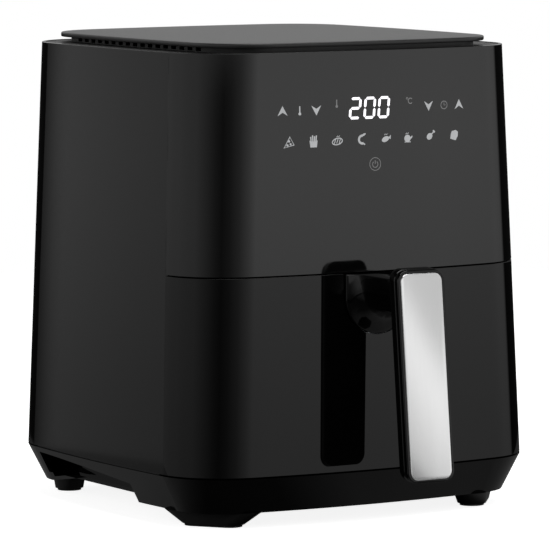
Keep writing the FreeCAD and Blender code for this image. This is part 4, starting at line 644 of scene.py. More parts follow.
def curved_panel(path, low, high, radius=0.22, hold=0.35):
    """A wall that follows a path round the body. Its outer edges are softened, and held so by more points."""
    edge = quarter_round(radius, 3)
    rise = [(inset, low + back) for inset, back in edge]
    fall = [(inset, high - back) for inset, back in reversed(edge)]
    between = [low + radius + hold] + spread(low + radius, high - radius, 4)[1:-1] + [high - radius - hold]
    profile = [(SHELL_WALL, low), *rise, *[(0, z) for z in between], *fall, (SHELL_WALL, high)]
    profile += [(SHELL_WALL, z) for z in reversed(between)]
    lines = []
    for inset, z in profile:
        start = [path(z, max(inset, more), trim)[0] for more, trim in edge[:-1]]
        end = [path(z, max(inset, more), trim)[-1] for more, trim in reversed(edge[:-1])]
        held = path(z, inset, radius + hold)
        run = path(z, inset, radius)
        lines.append([(x, y, z) for x, y in [*start, run[0], *held, run[-1], *end]])
    return skin(list(zip(*lines)))


def front_shell(low, high):
    """A wall round the front, with the web that closes it across its lower end."""
    shape = curved_panel(front_path, low, high)
    web = []
    for z in (low + 0.05, low + SHELL_WALL):
        web.append([shape.verts.new((x, y, z)) for x, y in front_path(z, SHELL_WALL)])
    add_skin(shape, web)
    return shape


def body_normal(x, y, z):
    """The way the body's outer face looks at a place."""
    here, above = body_outline(z), body_outline(z + 1)
    across, deep = abs(x), abs(y)
    if math.atan2(deep, across - here.side_x) <= here.side_end:
        first, second = (here.side_x, 0), (above.side_x, 0)
    elif math.atan2(across, deep - here.front_y) <= here.front_end:
        first, second = (0, here.front_y), (0, above.front_y)
    else:
        first, second = (here.corner_x, here.corner_y), (above.corner_x, above.corner_y)
    flat = Vector((across - first[0], deep - first[1])).normalized()
    rise = -((second[0] - first[0]) * flat.x + (second[1] - first[1]) * flat.y)
    return Vector((math.copysign(flat.x, x), math.copysign(flat.y, y), rise)).normalized()


def face_true(mesh, likeness=0.995):
    """Gives the corners of the outer faces the body's own normals, so that gloss runs evenly over them."""
    mesh.update()
    normals = [corner.vector.copy() for corner in mesh.corner_normals]
    for face in mesh.polygons:
        middle = face.center / MM - Vector((0, MIDDLE_Y, 0))
        if face.normal.dot(body_normal(*middle)) < likeness:
            continue
        for loop in face.loop_indices:
            point = mesh.vertices[mesh.loops[loop].vertex_index].co / MM - Vector((0, MIDDLE_Y, 0))
            normals[loop] = body_normal(*point)
    mesh.normals_split_custom_set(normals)


def carve(name, shape, *tools, placed=True):
    """Cuts closed shapes out of another, exactly."""
    whole = shown(name, to_mesh(name, shape, placed=placed))
    cutters = []
    for tool in tools:
        cutter = shown(f"{name}_cutter", to_mesh(f"{name}_cutter", tool, placed=placed))
        step = whole.modifiers.new("cut", "BOOLEAN")
        step.operation, step.solver, step.object = "DIFFERENCE", "EXACT", cutter
        cutters.append(cutter)
    mesh = settled(whole)
    for cutter in cutters:
        bpy.data.meshes.remove(cutter.data)
    return mesh


def settled(holder):
    """The mesh that a holder's modifiers give; the holder is removed."""
    bpy.context.view_layer.update()
    graph = bpy.context.evaluated_depsgraph_get()
    mesh = bpy.data.meshes.new_from_object(holder.evaluated_get(graph), depsgraph=graph)
    old = holder.data
    name = holder.name
    bpy.data.objects.remove(holder)
    bpy.data.meshes.remove(old)
    mesh.name = name
    return mesh


def softened(node, body, finish, width, steps, limit=math.radians(40)):
    """A CAD piece with its corners rounded off, where they turn by more than a limit."""
    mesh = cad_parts[node].data.copy()
    shape = bmesh.new()
    shape.from_mesh(mesh)
    bmesh.ops.remove_doubles(shape, verts=shape.verts, dist=1e-6)
    bmesh.ops.dissolve_limit(shape, angle_limit=math.radians(0.5), verts=shape.verts, edges=shape.edges)
    for face in shape.faces:
        face.smooth = True
    shape.to_mesh(mesh)
    shape.free()
    mesh.materials.clear()
    holder = shown(f"{node}_finished", mesh)
    bevel = holder.modifiers.new("soft", "BEVEL")
    bevel.limit_method, bevel.angle_limit = "ANGLE", limit
    bevel.width, bevel.segments = width * MM, steps
    bevel.harden_normals = True
    bevel.use_clamp_overlap = False
    bevel.miter_outer = "MITER_ARC"
    piece(f"{node}_finished", settled(holder), body, finish, node)


# ---------------------------------------------------------------- the shells

HANDLE_ROOT_HEIGHT = 39.4


def box_of(node):
    """A CAD piece's low and high corners, in millimetres."""
    return [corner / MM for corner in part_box(node)]


def handle_seat(top, steps=16):
    """What is cut from the drawer for the handle's root: a flat-topped block with a round lower end."""
    half_width = box_of("handle_grip")[1].x + SEAM_GAP
    middle = top - HANDLE_ROOT_HEIGHT - SEAM_GAP + half_width
    turns = spread(math.pi, 2 * math.pi, steps)
    low_end = [(half_width * math.cos(turn), middle + half_width * math.sin(turn)) for turn in turns]
    outline = low_end + [(half_width, top + 5), (-half_width, top + 5)]
    return skin([[(x, y, z) for x, z in outline] for y in (-170, -100)])


def make_shells():
    """The panel, the drawer front and the two sides."""
    panel_low, panel_high = (corner.z for corner in box_of("front_panel"))
    drawer_low, drawer_high = (corner.z for corner in box_of("drawer_front"))
    panel = to_mesh("control_panel_shell", front_shell(panel_low, panel_high))
    face_true(panel)
    piece("control_panel_shell", panel, "housing", "panel_gloss", "front_panel")
    drawer = carve("drawer_front_shell", front_shell(drawer_low, drawer_high), handle_seat(drawer_high))
    face_true(drawer)
    piece("drawer_front_shell", drawer, "drawer", "gloss_black", "drawer_front")
    for label, side in (("left", -1), ("right", 1)):
        name = f"{label}_side_finished"
        shell = to_mesh(name, curved_panel(side_path(side), drawer_low, panel_high))
        face_true(shell)
        piece(name, shell, "housing", "satin_black", f"{label}_side_shell")


# ---------------------------------------------------------------- the control panel

DIGIT_Z = 267.9
DIGIT_X = (-14.2, -3.4, 7.2)
WINDOW_X = -3.5
ROW_ONE_Z = 267.6
ROW_TWO_Z = 247.7
POWER_Z = 231.6


def on_panel(x, z, lift):
    """A place on the panel's face, in millimetres about the body's middle."""
    outline = body_outline(z, -lift)
    turn = math.asin(x / outline.front)
    return Vector((x, -outline.front_at(turn)[1], z))


def stroke(points, width, closed=False):
    """A line of even width through flat points, as a polygon."""
    left, right = [], []
    count = len(points)
    for index, (x, z) in enumerate(points):
        before = points[index - 1] if index or closed else points[0]
        after = points[(index + 1) % count] if index < count - 1 or closed else points[-1]
        direction = Vector((after[0] - before[0], after[1] - before[1])).normalized()
        offset = Vector((-direction.y, direction.x)) * width / 2
        left.append((x + offset.x, z + offset.y))
        right.append((x - offset.x, z - offset.y))
    if not closed:
        return [left + right[::-1]]
    after = [(index + 1) % count for index in range(count)]
    return [[left[index], left[after[index]], right[after[index]], right[index]] for index in range(count)]


def circle(x, z, radius, start=0.0, sweep=360.0, steps=24):
    turns = spread(math.radians(start), math.radians(start + sweep), steps)
    points = [(x + radius * math.cos(turn), z + radius * math.sin(turn)) for turn in turns]
    return points[:-1] if sweep == 360 else points


def ellipse(x, z, wide, tall, tilt=0.0, steps=24):
    cosine, sine = math.cos(math.radians(tilt)), math.sin(math.radians(tilt))
    shape = []
    for turn in spread(0, 2 * math.pi, steps)[:-1]:
        across, up = wide * math.cos(turn), tall * math.sin(turn)
        shape.append((x + across * cosine - up * sine, z + across * sine + up * cosine))
    return shape


def arrow(up):
    """A broad arrowhead with a notched tail."""
    return [[(x, up * z) for x, z in ((0, 3.4), (3.5, -3.0), (0, -0.9), (-3.5, -3.0))]]


def thermometer(size):
    stem = [(x * size, z * size) for x, z in ((-0.45, -1.5), (0.45, -1.5), (0.45, 3.2), (-0.45, 3.2))]
    return [stem, circle(0, -2.2 * size, 1.1 * size, steps=16)]


def clock():
    return [
        *stroke(circle(0, 0, 2.5), 0.45, closed=True), *stroke([(0, 1.6), (0, 0), (1.2, 0)], 0.45),
    ]


def degrees():
    return [
        *stroke(circle(-1.7, 1.7, 0.6, steps=12), 0.35, closed=True),
        *stroke(circle(0.9, 0, 1.7, 45, 270, 18), 0.55),
    ]


def power():
    return [
        *stroke(circle(0, 0, 4.1, steps=36), 0.4, closed=True),
        *stroke(circle(0, -0.2, 2.0, 125, 290), 0.45), *stroke([(0, 0.1), (0, 2.5)], 0.45),
    ]


def pizza():
    return [
        *stroke([(-3.4, -3.6), (0.8, 3.4), (3.6, -1.8)], 0.75, closed=True),
        *[circle(*topping, steps=12) for topping in ((0.2, 0.6, 0.75), (1.2, -1.2, 0.7), (-1.0, -1.9, 0.75))],
    ]


def fries():
    sticks = [
        [(x, -0.2), (x + 0.9, -0.2), (x + 0.9 + lean, top), (x + lean, top)]
        for x, top, lean in ((-2.2, 3.0, -0.3), (-1.0, 3.9, -0.1), (0.2, 3.3, 0.1), (1.3, 3.8, 0.3))
    ]
    return [[(-2.3, -3.8), (2.3, -3.8), (2.9, 0.6), (1.2, 0.0), (-1.2, 0.0), (-2.9, 0.6)], *sticks]


def loaf():
    slits = [stroke([(x, -1.9), (x + 1.0, 0.9)], 0.55)[0] for x in (-2.2, -0.5, 1.2)]
    return [*stroke(ellipse(0, -0.6, 3.7, 2.0, 12), 0.7, closed=True), *slits, *steam(0.3)]


def steam(x):
    return stroke([(x - 0.8, 2.2), (x, 2.9), (x + 0.8, 2.4), (x + 1.5, 3.1)], 0.4)


def prawn():
    body = stroke(circle(0.6, 0, 2.5, 80, 210, 16), 1.5)
    return [*body, ellipse(1.6, 3.0, 1.8, 0.7, 25), *stroke([(0.8, -2.2), (2.6, -3.3)], 0.9)]


def fish():
    return [ellipse(-0.6, -0.4, 2.9, 1.7, 22), [(1.4, 0.4), (3.6, 2.2), (3.3, -0.5)], *steam(-0.6)]


def roast():
    return [
        circle(-0.4, -0.6, 2.4, steps=20), [(1.2, -0.4), (3.4, 1.2), (3.6, 0.2), (1.7, -1.6)], *steam(-0.9),
        *stroke([(-2.6, -2.9), (2.2, -2.9)], 0.5),
    ]


def drumstick():
    return [
        ellipse(-0.9, 0, 2.4, 2.0, 40), *stroke([(0.7, 1.4), (2.3, 2.8)], 0.8),
        circle(2.8, 2.9, 0.7, steps=12), circle(2.3, 3.5, 0.6, steps=12),
    ]


def toast():
    return [[(-2.9, -2.2), (1.5, -3.4), (3.2, -0.6), (3.4, 2.2), (1.6, 3.3), (-1.6, 2.7), (-2.4, 0.9)]]


def seven_segments(lit, x, high=12.4, wide=7.0, thick=1.75, lean=0.1, gap=0.28):
    """One digit's lit bars, leaning as such displays do."""
    half_wide, half_high = wide / 2, high / 2
    corners = {
        "a": ((-half_wide, half_high), (half_wide, half_high)), "g": ((-half_wide, 0), (half_wide, 0)),
        "d": ((-half_wide, -half_high), (half_wide, -half_high)),
        "f": ((-half_wide, 0), (-half_wide, half_high)), "b": ((half_wide, 0), (half_wide, half_high)),
        "e": ((-half_wide, -half_high), (-half_wide, 0)), "c": ((half_wide, -half_high), (half_wide, 0)),
    }
    bars = []
    for bar in lit:
        (x0, z0), (x1, z1) = corners[bar]
        along = Vector((x1 - x0, z1 - z0)).normalized()
        side = Vector((-along.y, along.x)) * thick / 2
        start, end = Vector((x0, z0)) + along * gap, Vector((x1, z1)) - along * gap
        tip = along * thick / 2
        outline = [start, start + tip + side, end - tip + side, end, end - tip - side, start + tip - side]
        bars.append([(x + point.x + point.y * lean, point.y) for point in outline])
    return bars


def printed(name, shapes, finish, x, z, lift=0.05):
    """Flat shapes laid on the panel's bowed face as a film that follows it, just sunk in."""
    film = bmesh.new()
    for outline in shapes:
        if signed_area(outline) < 0:
            outline = outline[::-1]
        rows = []
        for height in (-0.03, lift):
            rows.append([film.verts.new(on_panel(x + px, z + pz, height)) for px, pz in outline])
        add_skin(film, rows)
    piece(name, to_mesh(name, film), "housing", finish)


def signed_area(outline):
    return sum(a[0] * b[1] - b[0] * a[1] for a, b in zip(outline, outline[1:] + outline[:1]))


def display_window():
    """The display's window: smoked, with a faint glow about the lit bars."""
    lit_half_width, lit_half_height, reach = 13.5 * MM, 5 * MM, 5.2 * MM
    paint = Paint("display_window")
    x, _, z = paint.axes()
    across = ((x - WINDOW_X * MM).math("ABSOLUTE") - lit_half_width).math("MAXIMUM", 0.0)
    upward = ((z - DIGIT_Z * MM).math("ABSOLUTE") - lit_half_height).math("MAXIMUM", 0.0)
    near = (across * across + upward * upward).math("SQRT").ramp(0.0, reach, 1.0, 0.0)
    haze = paint.noise(500, 2)
    return paint.surface(
        base_color=(0.004, 0.004, 0.005, 1),
        roughness=haze * 0.03 + 0.04,
        ior=1.56,
        emission_color=paint.mix(near * near, 0.0, (0.085, 0.075, 0.105)),
        emission_strength=1.0,
    )


def make_controls():
    FINISH["display_window"] = display_window()
    printed("display_window", [rounded_outline(18.8, 9.6, 1.0)], "display_window", WINDOW_X, DIGIT_Z, 0.02)
    bars = [bar for lit, x in zip(("abged", "abcdef", "abcdef"), DIGIT_X) for bar in seven_segments(lit, x)]
    printed("display_digits", bars, "lit_segment", 0, DIGIT_Z, 0.06)
    bright = {
        "raise_heat": (arrow(1), -66.5, ROW_ONE_Z), "lower_heat": (arrow(-1), -42.6, ROW_ONE_Z),
        "lower_time": (arrow(-1), 42.1, ROW_ONE_Z), "raise_time": (arrow(1), 66.7, ROW_ONE_Z),
        "heat": (thermometer(0.9), -54.4, ROW_ONE_Z),
    }
    for name, maker, x in (
        ("pizza", pizza, -62.5), ("fries", fries, -45.0), ("bread", loaf, -27.8), ("prawn", prawn, -10.0),
        ("fish", fish, 8.7), ("roast", roast, 25.4), ("drumstick", drumstick, 43.4), ("toast", toast, 62.1),
    ):
        bright[name] = (maker(), x, ROW_TWO_Z)
    for name, (shapes, x, z) in bright.items():
        printed(f"legend_{name}", shapes, "legend_ink", x, z)
    for name, shapes, x, z in (
        ("heat_reading", thermometer(0.8), -27.8, 271.3), ("degrees", degrees(), 26.9, 271.3),
        ("time", clock(), 54.5, ROW_ONE_Z), ("power", power(), 0, POWER_Z),
    ):
        printed(f"legend_{name}", shapes, "faint_ink", x, z)


def rounded_outline(half_width, half_height, radius, steps=5):
    points = []
    for sx, sz, start in ((1, -1, -90), (1, 1, 0), (-1, 1, 90), (-1, -1, 180)):
        for turn in spread(math.radians(start), math.radians(start + 90), steps):
            points.append((
                sx * (half_width - radius) + radius * math.cos(turn),
                sz * (half_height - radius) + radius * math.sin(turn),
            ))
    return points


# ---------------------------------------------------------------- the lid and the handle

def make_lid():
    """The lid's inlay: satin, barely crowned, its edge rolled over."""
    low, high = box_of("top_cover")
    half_depth = (high.y - low.y) / 2
    crown = [(30, 0.02), (12, 0.12), (4.5, 0.3), (1.6, 0.45)]
    roll = [(inset, 0.5 + drop) for inset, drop in quarter_round(0.9, 4)]
    middle = round_body(Outline(high.x, half_depth, 38, LID_CORNER))
    rings = [[(x * 0.35, y * 0.35, high.z) for x, y in middle]]
    for inset, drop in crown + roll + [(0, 2.9), (0.25, 3.3), (0.6, high.z - low.z)]:
        loop = round_body(Outline(high.x, half_depth, inset, LID_CORNER))
        rings.append([(x, y, high.z - drop) for x, y in loop])
    piece("lid_inlay", to_mesh("lid_inlay", skin(rings)), "housing", "lid_satin", "top_cover")


def make_handle():
    """The silver plate in its bezel, on the grip."""
    softened("handle_plate", "drawer", "brushed_silver", 0.45, 3)
    softened("handle_bezel", "drawer", "gloss_black", 0.4, 2)
    softened("handle_grip", "drawer", "satin_black", 0.7, 3)


# ---------------------------------------------------------------- what repeats or follows a path

class Growth(Graph):
    """A geometry tree: its sizes are named inputs, and it ends in one plain mesh with its material."""

    def __init__(self, name, finish, **sizes):
        super().__init__(bpy.data.node_groups.new(name, "GeometryNodeTree"))
        self.name, self.finish, self.sizes = name, finish, sizes
        self.tree.interface.new_socket("Geometry", in_out="INPUT", socket_type="NodeSocketGeometry")
        for key, size in sizes.items():
            kind = {int: "Int", float: "Float", bpy.types.Object: "Object"}[type(size)]
            self.tree.interface.new_socket(key, in_out="INPUT", socket_type=f"NodeSocket{kind}")
        self.tree.interface.new_socket("Geometry", in_out="OUTPUT", socket_type="NodeSocketGeometry")
        self.given = self.node("NodeGroupInput")

    def __getitem__(self, key):
        return self.given[key]

    def instances(self, points, shape, **more):
        inputs = {"Points": points, "Instance": shape, **{key.title(): given for key, given in more.items()}}
        return self.node("GeometryNodeInstanceOnPoints", inputs=inputs)[0]

    def shape_of(self, key):
        return self.node("GeometryNodeObjectInfo", inputs={"Object": self[key]})["Geometry"]

    def realized(self, shape):
        return self.node("GeometryNodeRealizeInstances", inputs={"Geometry": shape})[0]

    def tube(self, curve, radius, sides):
        """A round tube along a curve, its ends closed."""
        inputs = {"Resolution": sides, "Radius": radius}
        ring = self.node("GeometryNodeCurvePrimitiveCircle", inputs=inputs)[0]
        inputs = {"Curve": curve, "Profile Curve": ring, "Fill Caps": True}
        return self.node("GeometryNodeCurveToMesh", inputs=inputs)[0]

    def turned(self, *angles):
        """A rotation from three angles, each a wire or a number."""
        vector = self.node("ShaderNodeCombineXYZ", inputs=dict(enumerate(angles)))[0]
        return self.node("FunctionNodeEulerToRotation", inputs={0: vector})[0]

    def grow(self, shape, points=((0, 0, 0),), edges=(), stretch=None):
        """Ends the tree with a shape, runs it on the points and edges given, and hands back the mesh."""
        inputs = {"Geometry": self.realized(shape), "Material": FINISH[self.finish]}
        painted = self.node("GeometryNodeSetMaterial", inputs=inputs)
        self.node("NodeGroupOutput", inputs={0: painted[0]})
        source = bpy.data.meshes.new(self.name)
        source.from_pydata(points, edges, [])
        if stretch:
            values = source.attributes.new("stretch", "FLOAT_VECTOR", "POINT").data
            for value, given in zip(values, stretch):
                value.vector = given
        holder = shown(self.name, source)
        step = holder.modifiers.new("grow", "NODES")
        step.node_group = self.tree
        for socket in self.tree.interface.items_tree:
            if socket.in_out == "INPUT" and socket.name in self.sizes:
                step[socket.identifier] = self.sizes[socket.name]
        mesh = settled(holder)
        for size in self.sizes.values():
            if isinstance(size, bpy.types.Object):
                bpy.data.meshes.remove(size.data)
        mesh.shade_smooth()
        mesh.set_sharp_from_angle(angle=SHARP)
        return mesh


def template(name, shape):
    """A shape in millimetres about its own origin, to be repeated; it is gone once it has been."""
    for vertex in shape.verts:
        vertex.co *= MM
    bmesh.ops.recalc_face_normals(shape, faces=shape.faces)
    mesh = bpy.data.meshes.new(name)
    shape.to_mesh(mesh)
    shape.free()
    return shown(name, mesh)


def lathe(profile, steps):
    """Turns a profile of radii and heights round the Z axis. It starts and ends on flat faces."""
    return [[(x, y, z) for x, y in circle(0, 0, radius, steps=steps)] for radius, z in profile]


def islands(node):
    """The box of each separate solid of a CAD piece, in metres."""
    shape = bmesh.new()
    shape.from_mesh(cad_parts[node].data)
    bmesh.ops.remove_doubles(shape, verts=shape.verts, dist=1e-6)
    left = set(shape.verts)
    boxes = []
    while left:
        reached = [left.pop()]
        for vertex in reached:
            beyond = {edge.other_vert(vertex) for edge in vertex.link_edges} & left
            left -= beyond
            reached += beyond
        spans = [(min(v.co[axis] for v in reached), max(v.co[axis] for v in reached)) for axis in range(3)]
        boxes.append((Vector([low for low, _ in spans]), Vector([high for _, high in spans])))
    shape.free()
    return boxes


# The turn about X that brings a screw's head, at +Z, to face along an axis.
HEAD_TURN = {(1, 1): -math.pi / 2, (1, -1): math.pi / 2, (2, -1): math.pi}
HEAD_HEIGHT = 2
SHANK_RADIUS = 1.5
RECESS_REACH = 2.1
RECESS_HALF_WIDTH = 0.42


def recess_bar(half_width, half_depth):
    """One bar of a screw's cross recess, narrowing as it goes in."""
    corners = [(half_width * x, half_depth * y) for x, y in ((1, 1), (-1, 1), (-1, -1), (1, -1))]
    return skin([[(x * share, y * share, z) for x, y in corners] for share, z in ((0.7, -1.2), (1, 0.2))])


def make_screws():
    """Pan-head screws with a cross recess, wherever the CAD has one."""
    head = [(SHANK_RADIUS, 0), (3, 0), (3, 0.6), (2.8, 1.3), (2.3, 1.8), (SHANK_RADIUS, HEAD_HEIGHT)]
    for node, body, axis, sign in (
        ("rear_screws", "housing", 1, 1), ("floor_screws", "housing", 2, -1),
        ("pan_screws", "drawer", 1, -1), ("handle_screws", "drawer", 1, 1),
    ):
        boxes = islands(node)
        length = (boxes[0][1] - boxes[0][0])[axis] / MM
        profile = [(SHANK_RADIUS, -length), *head]
        screw = skin(lathe([(radius, z - HEAD_HEIGHT) for radius, z in profile], 14))
        bars = [recess_bar(RECESS_REACH, RECESS_HALF_WIDTH), recess_bar(RECESS_HALF_WIDTH, RECESS_REACH)]
        holder = shown(f"{node}_template", carve(f"{node}_template", screw, *bars, placed=False))
        tree = Growth(node, "zinc", Template=holder, Lean=HEAD_TURN[axis, sign])
        lean = tree.turned(tree["Lean"], 0.0, 0.0)
        shape = tree.instances(tree["Geometry"], tree.shape_of("Template"), rotation=lean)
        tops = []
        for low, high in boxes:
            top = (low + high) / 2
            top[axis] = high[axis] if sign > 0 else low[axis]
            tops.append(top)
        piece(f"{node}_finished", tree.grow(shape, tops), body, "zinc", node)


def make_springs():
    """The touch keys' coil springs, each as long as the gap it spans."""
    wire = 0.35
    tree = Growth("touch_key_springs", "steel", Radius=3.6 * MM, Wire=wire * MM, Turns=5.0)
    inputs = {"Resolution": 10, "Rotations": tree["Turns"], "Height": 1.0 * MM}
    inputs["Start Radius"] = inputs["End Radius"] = tree["Radius"]
    coil = tree.node("GeometryNodeCurveSpiral", inputs=inputs)[0]
    kind = {"data_type": "FLOAT_VECTOR"}
    length = tree.node("GeometryNodeInputNamedAttribute", kind, {"Name": "stretch"})[0]
    lying = tree.turned(math.pi / 2, 0.0, 0.0)
    coils = tree.realized(tree.instances(tree["Geometry"], coil, scale=length, rotation=lying))
    boxes = islands("touch_key_springs")
    starts = [
        Vector(((low.x + high.x) / 2, high.y - wire * MM, (low.z + high.z) / 2)) for low, high in boxes
    ]
    stretch = [(1, 1, (high.y - low.y) / MM - 2 * wire) for low, high in boxes]
    mesh = tree.grow(tree.tube(coils, tree["Wire"], 5), starts, stretch=stretch)
    piece("touch_key_springs_finished", mesh, "housing", "steel", "touch_key_springs")


def follow(node, finish, radius, runs):
    """A round wire or tube in the housing, along each run of points, closed or open."""
    tree = Growth(f"{node}_run", finish, Radius=radius * MM)
    curve = tree.node("GeometryNodeMeshToCurve", inputs={"Mesh": tree["Geometry"]})[0]
    points, edges = [], []
    for run, closed in runs:
        first = len(points)
        points += [Vector((x, y + MIDDLE_Y, z)) * MM for x, y, z in run]
        edges += [(index, index + 1) for index in range(first, len(points) - 1)]
        if closed:
            edges.append((len(points) - 1, first))
    mesh = tree.grow(tree.tube(curve, tree["Radius"], 10), points, edges)
    piece(f"{node}_finished", mesh, "housing", finish, node)


def arc(radius, low, high, y, z, steps):
    turns = spread(math.radians(low), math.radians(high), steps)
    return [(radius * math.cos(turn), y + radius * math.sin(turn), z) for turn in turns]


def make_heater():
    """The two-ring element on its terminals, and the wire guard below it."""
    sheath_radius, coil_pitch, half_turn, bend = 3.25, 16, 165, 7
    low, high = box_of("heating_coil")
    middle = (low.y + high.y) / 2 - MIDDLE_Y
    outer = (high.y - low.y) / 2 - sheath_radius
    level = box_of("heater_clips")[0].z - sheath_radius
    there = arc(outer, -half_turn, half_turn, middle, level, 90)
    back = arc(outer - coil_pitch, half_turn, -half_turn, middle, level, 70)
    first, last = [(*point[:2], high.z) for point in (there[0], back[-1])]
    run = rounded_run([first, *there, *back, last], bend)
    follow("heating_coil", "heater_steel", sheath_radius, [(run, False)])

    guard_pitch = 20
    low, high = box_of("heater_guard")
    level = (high.z + low.z) / 2
    runs = [(arc(guard_pitch * ring, 0, 360, middle, level, 48)[:-1], True) for ring in (1, 2, 3, 4)]
    runs.append(([(low.x, middle, level), (high.x, middle, level)], False))
    runs.append(([(0, low.y - MIDDLE_Y, level), (0, high.y - MIDDLE_Y, level)], False))
    follow("heater_guard", "steel", (high.z - low.z) / 2, runs)


def rounded_run(points, radius, steps=6):
    """The same run with its sharp turns bent to a radius."""
    nearly_straight = math.radians(150)
    points = [Vector(point) for point in points]
    run = [points[0]]
    for before, corner, after in zip(points, points[1:], points[2:]):
        first, second = before - corner, after - corner
        opening = first.angle(second)
        if opening > nearly_straight:
            run.append(corner)
            continue
        reach = radius / math.tan(opening / 2)
        start, end = corner + first.normalized() * reach, corner + second.normalized() * reach
        for share in spread(0, 1, steps):
            run.append(start.lerp(corner, share).lerp(corner.lerp(end, share), share))
    return run + [points[-1]]


def make_grille():
    """The exhaust grille: a frame, and slats that shed what drips down the back."""
    frame_width, slat_length_inset, slat_turn, corner = 7, 6.8, 0.75, 2.5
    low, high = box_of("exhaust_grille")
    half_width, half_height = high.x, (high.z - low.z) / 2 - 0.1
    lean = math.atan((HALF_DEPTH[0] - HALF_DEPTH[1]) / (TOP_Z - SEAM_Z))
    place = Vector((0, (low.y + high.y) / 2, (low.z + high.z) / 2)) * MM
    to_wall = Matrix.Translation(place) @ Matrix.Rotation(-math.pi / 2 + lean, 4, "X")
    outside = [(0, -1.5), (0, 1), (0.5, 1.5)]
    inside = [(frame_width - inset, z) for inset, z in reversed(outside)]
    rings = []
    for inset, z in outside + inside:
        loop = rounded_outline(half_width - inset, half_height - inset, corner)
        rings.append([(x, y, z) for x, y in loop])
    edge = skin(rings + rings[:1], capped=False)
    bmesh.ops.remove_doubles(edge, verts=edge.verts, dist=1e-4)
    cosine, sine = math.cos(slat_turn), math.sin(slat_turn)
    section = [(-1.6, -0.45), (-1.6, 0.3), (-1.3, 0.45), (1.3, 0.45), (1.6, 0.3), (1.6, -0.45)]
    section = [(y * cosine - z * sine, y * sine + z * cosine) for y, z in section]
    half_length = half_width - slat_length_inset
    slat = skin([[(x, y, z) for y, z in section] for x in (-half_length, half_length)])
    tree = Growth("exhaust_grille", "matte_black", Template=template("slat", slat), Count=6, Pitch=4.6 * MM)
    offset = tree.node("ShaderNodeCombineXYZ", inputs={1: tree["Pitch"]})[0]
    start = tree.node("ShaderNodeCombineXYZ", inputs={1: (tree["Count"] - 1.0) * tree["Pitch"] * -0.5})[0]
    inputs = {"Count": tree["Count"], "Start Location": start, "Offset": offset}
    line = tree.node("GeometryNodeMeshLine", inputs=inputs)[0]
    slats = tree.grow(tree.instances(line, tree.shape_of("Template")))
    slats.transform(to_wall)
    piece("exhaust_slats", slats, "housing", "matte_black")
    for vertex in edge.verts:
        vertex.co = to_wall @ (vertex.co * MM) / MM - Vector((0, MIDDLE_Y, 0))
    mesh = to_mesh("exhaust_grille_frame", edge)
    piece("exhaust_grille_frame", mesh, "housing", "matte_black", "exhaust_grille")


def make_fans():
    """Each fan: a disc on its hub, and curved blades round it."""
    bore, hub, disc_thick, blade_sweep, blade_half_thick = 3, 8, 1.2, -0.5, 0.6
    for node, count in (("hot_air_fan", 8), ("cooling_fan", 7)):
        low, high = box_of(node)
        radius, top, under = high.x, high.z, high.z - disc_thick
        middle = (low.y + high.y) / 2 - MIDDLE_Y
        profile = [
            (bore, top), (radius - 0.6, top), (radius, top - 0.6), (radius - 0.6, under), (hub, under),
            (hub, low.z + 0.5), (hub - 0.5, low.z), (bore, low.z), (bore, top),
        ]
        disc = skin([[(x, y + middle, z) for x, y, z in ring] for ring in lathe(profile, 40)], capped=False)
        bmesh.ops.remove_doubles(disc, verts=disc.verts, dist=1e-4)
        piece(f"{node}_disc", to_mesh(f"{node}_disc", disc), "rotor", "aluminium", node)
        blade = []
        for share in spread(0, 1, 6):
            reach = hub + (radius - 1.4 - hub) * share
            sweep = blade_sweep * share ** 1.5
            cosine, sine = math.cos(sweep), math.sin(sweep)
            blade.append([
                (reach * cosine + x * sine, reach * sine - x * cosine, z)
                for x, z in (
                    (-blade_half_thick, 0.3), (blade_half_thick, 0.3),
                    (blade_half_thick, under - low.z + 0.1), (-blade_half_thick, under - low.z + 0.1),
                )
            ])
        tree = Growth(f"{node}_blades", "aluminium", Template=template("blade", skin(blade)), Count=count)
        line = tree.node("GeometryNodeMeshLine", inputs={"Count": tree["Count"], "Offset": (0, 0, 0)})[0]
        step = tree.node("GeometryNodeInputIndex")[0] * (2 * math.pi) / tree["Count"]
        turned = tree.turned(0.0, 0.0, step)
        blades = tree.grow(tree.instances(line, tree.shape_of("Template"), rotation=turned))
        blades.transform(Matrix.Translation(Vector((0, middle + MIDDLE_Y, low.z)) * MM))
        piece(f"{node}_blades", blades, "rotor", "aluminium")


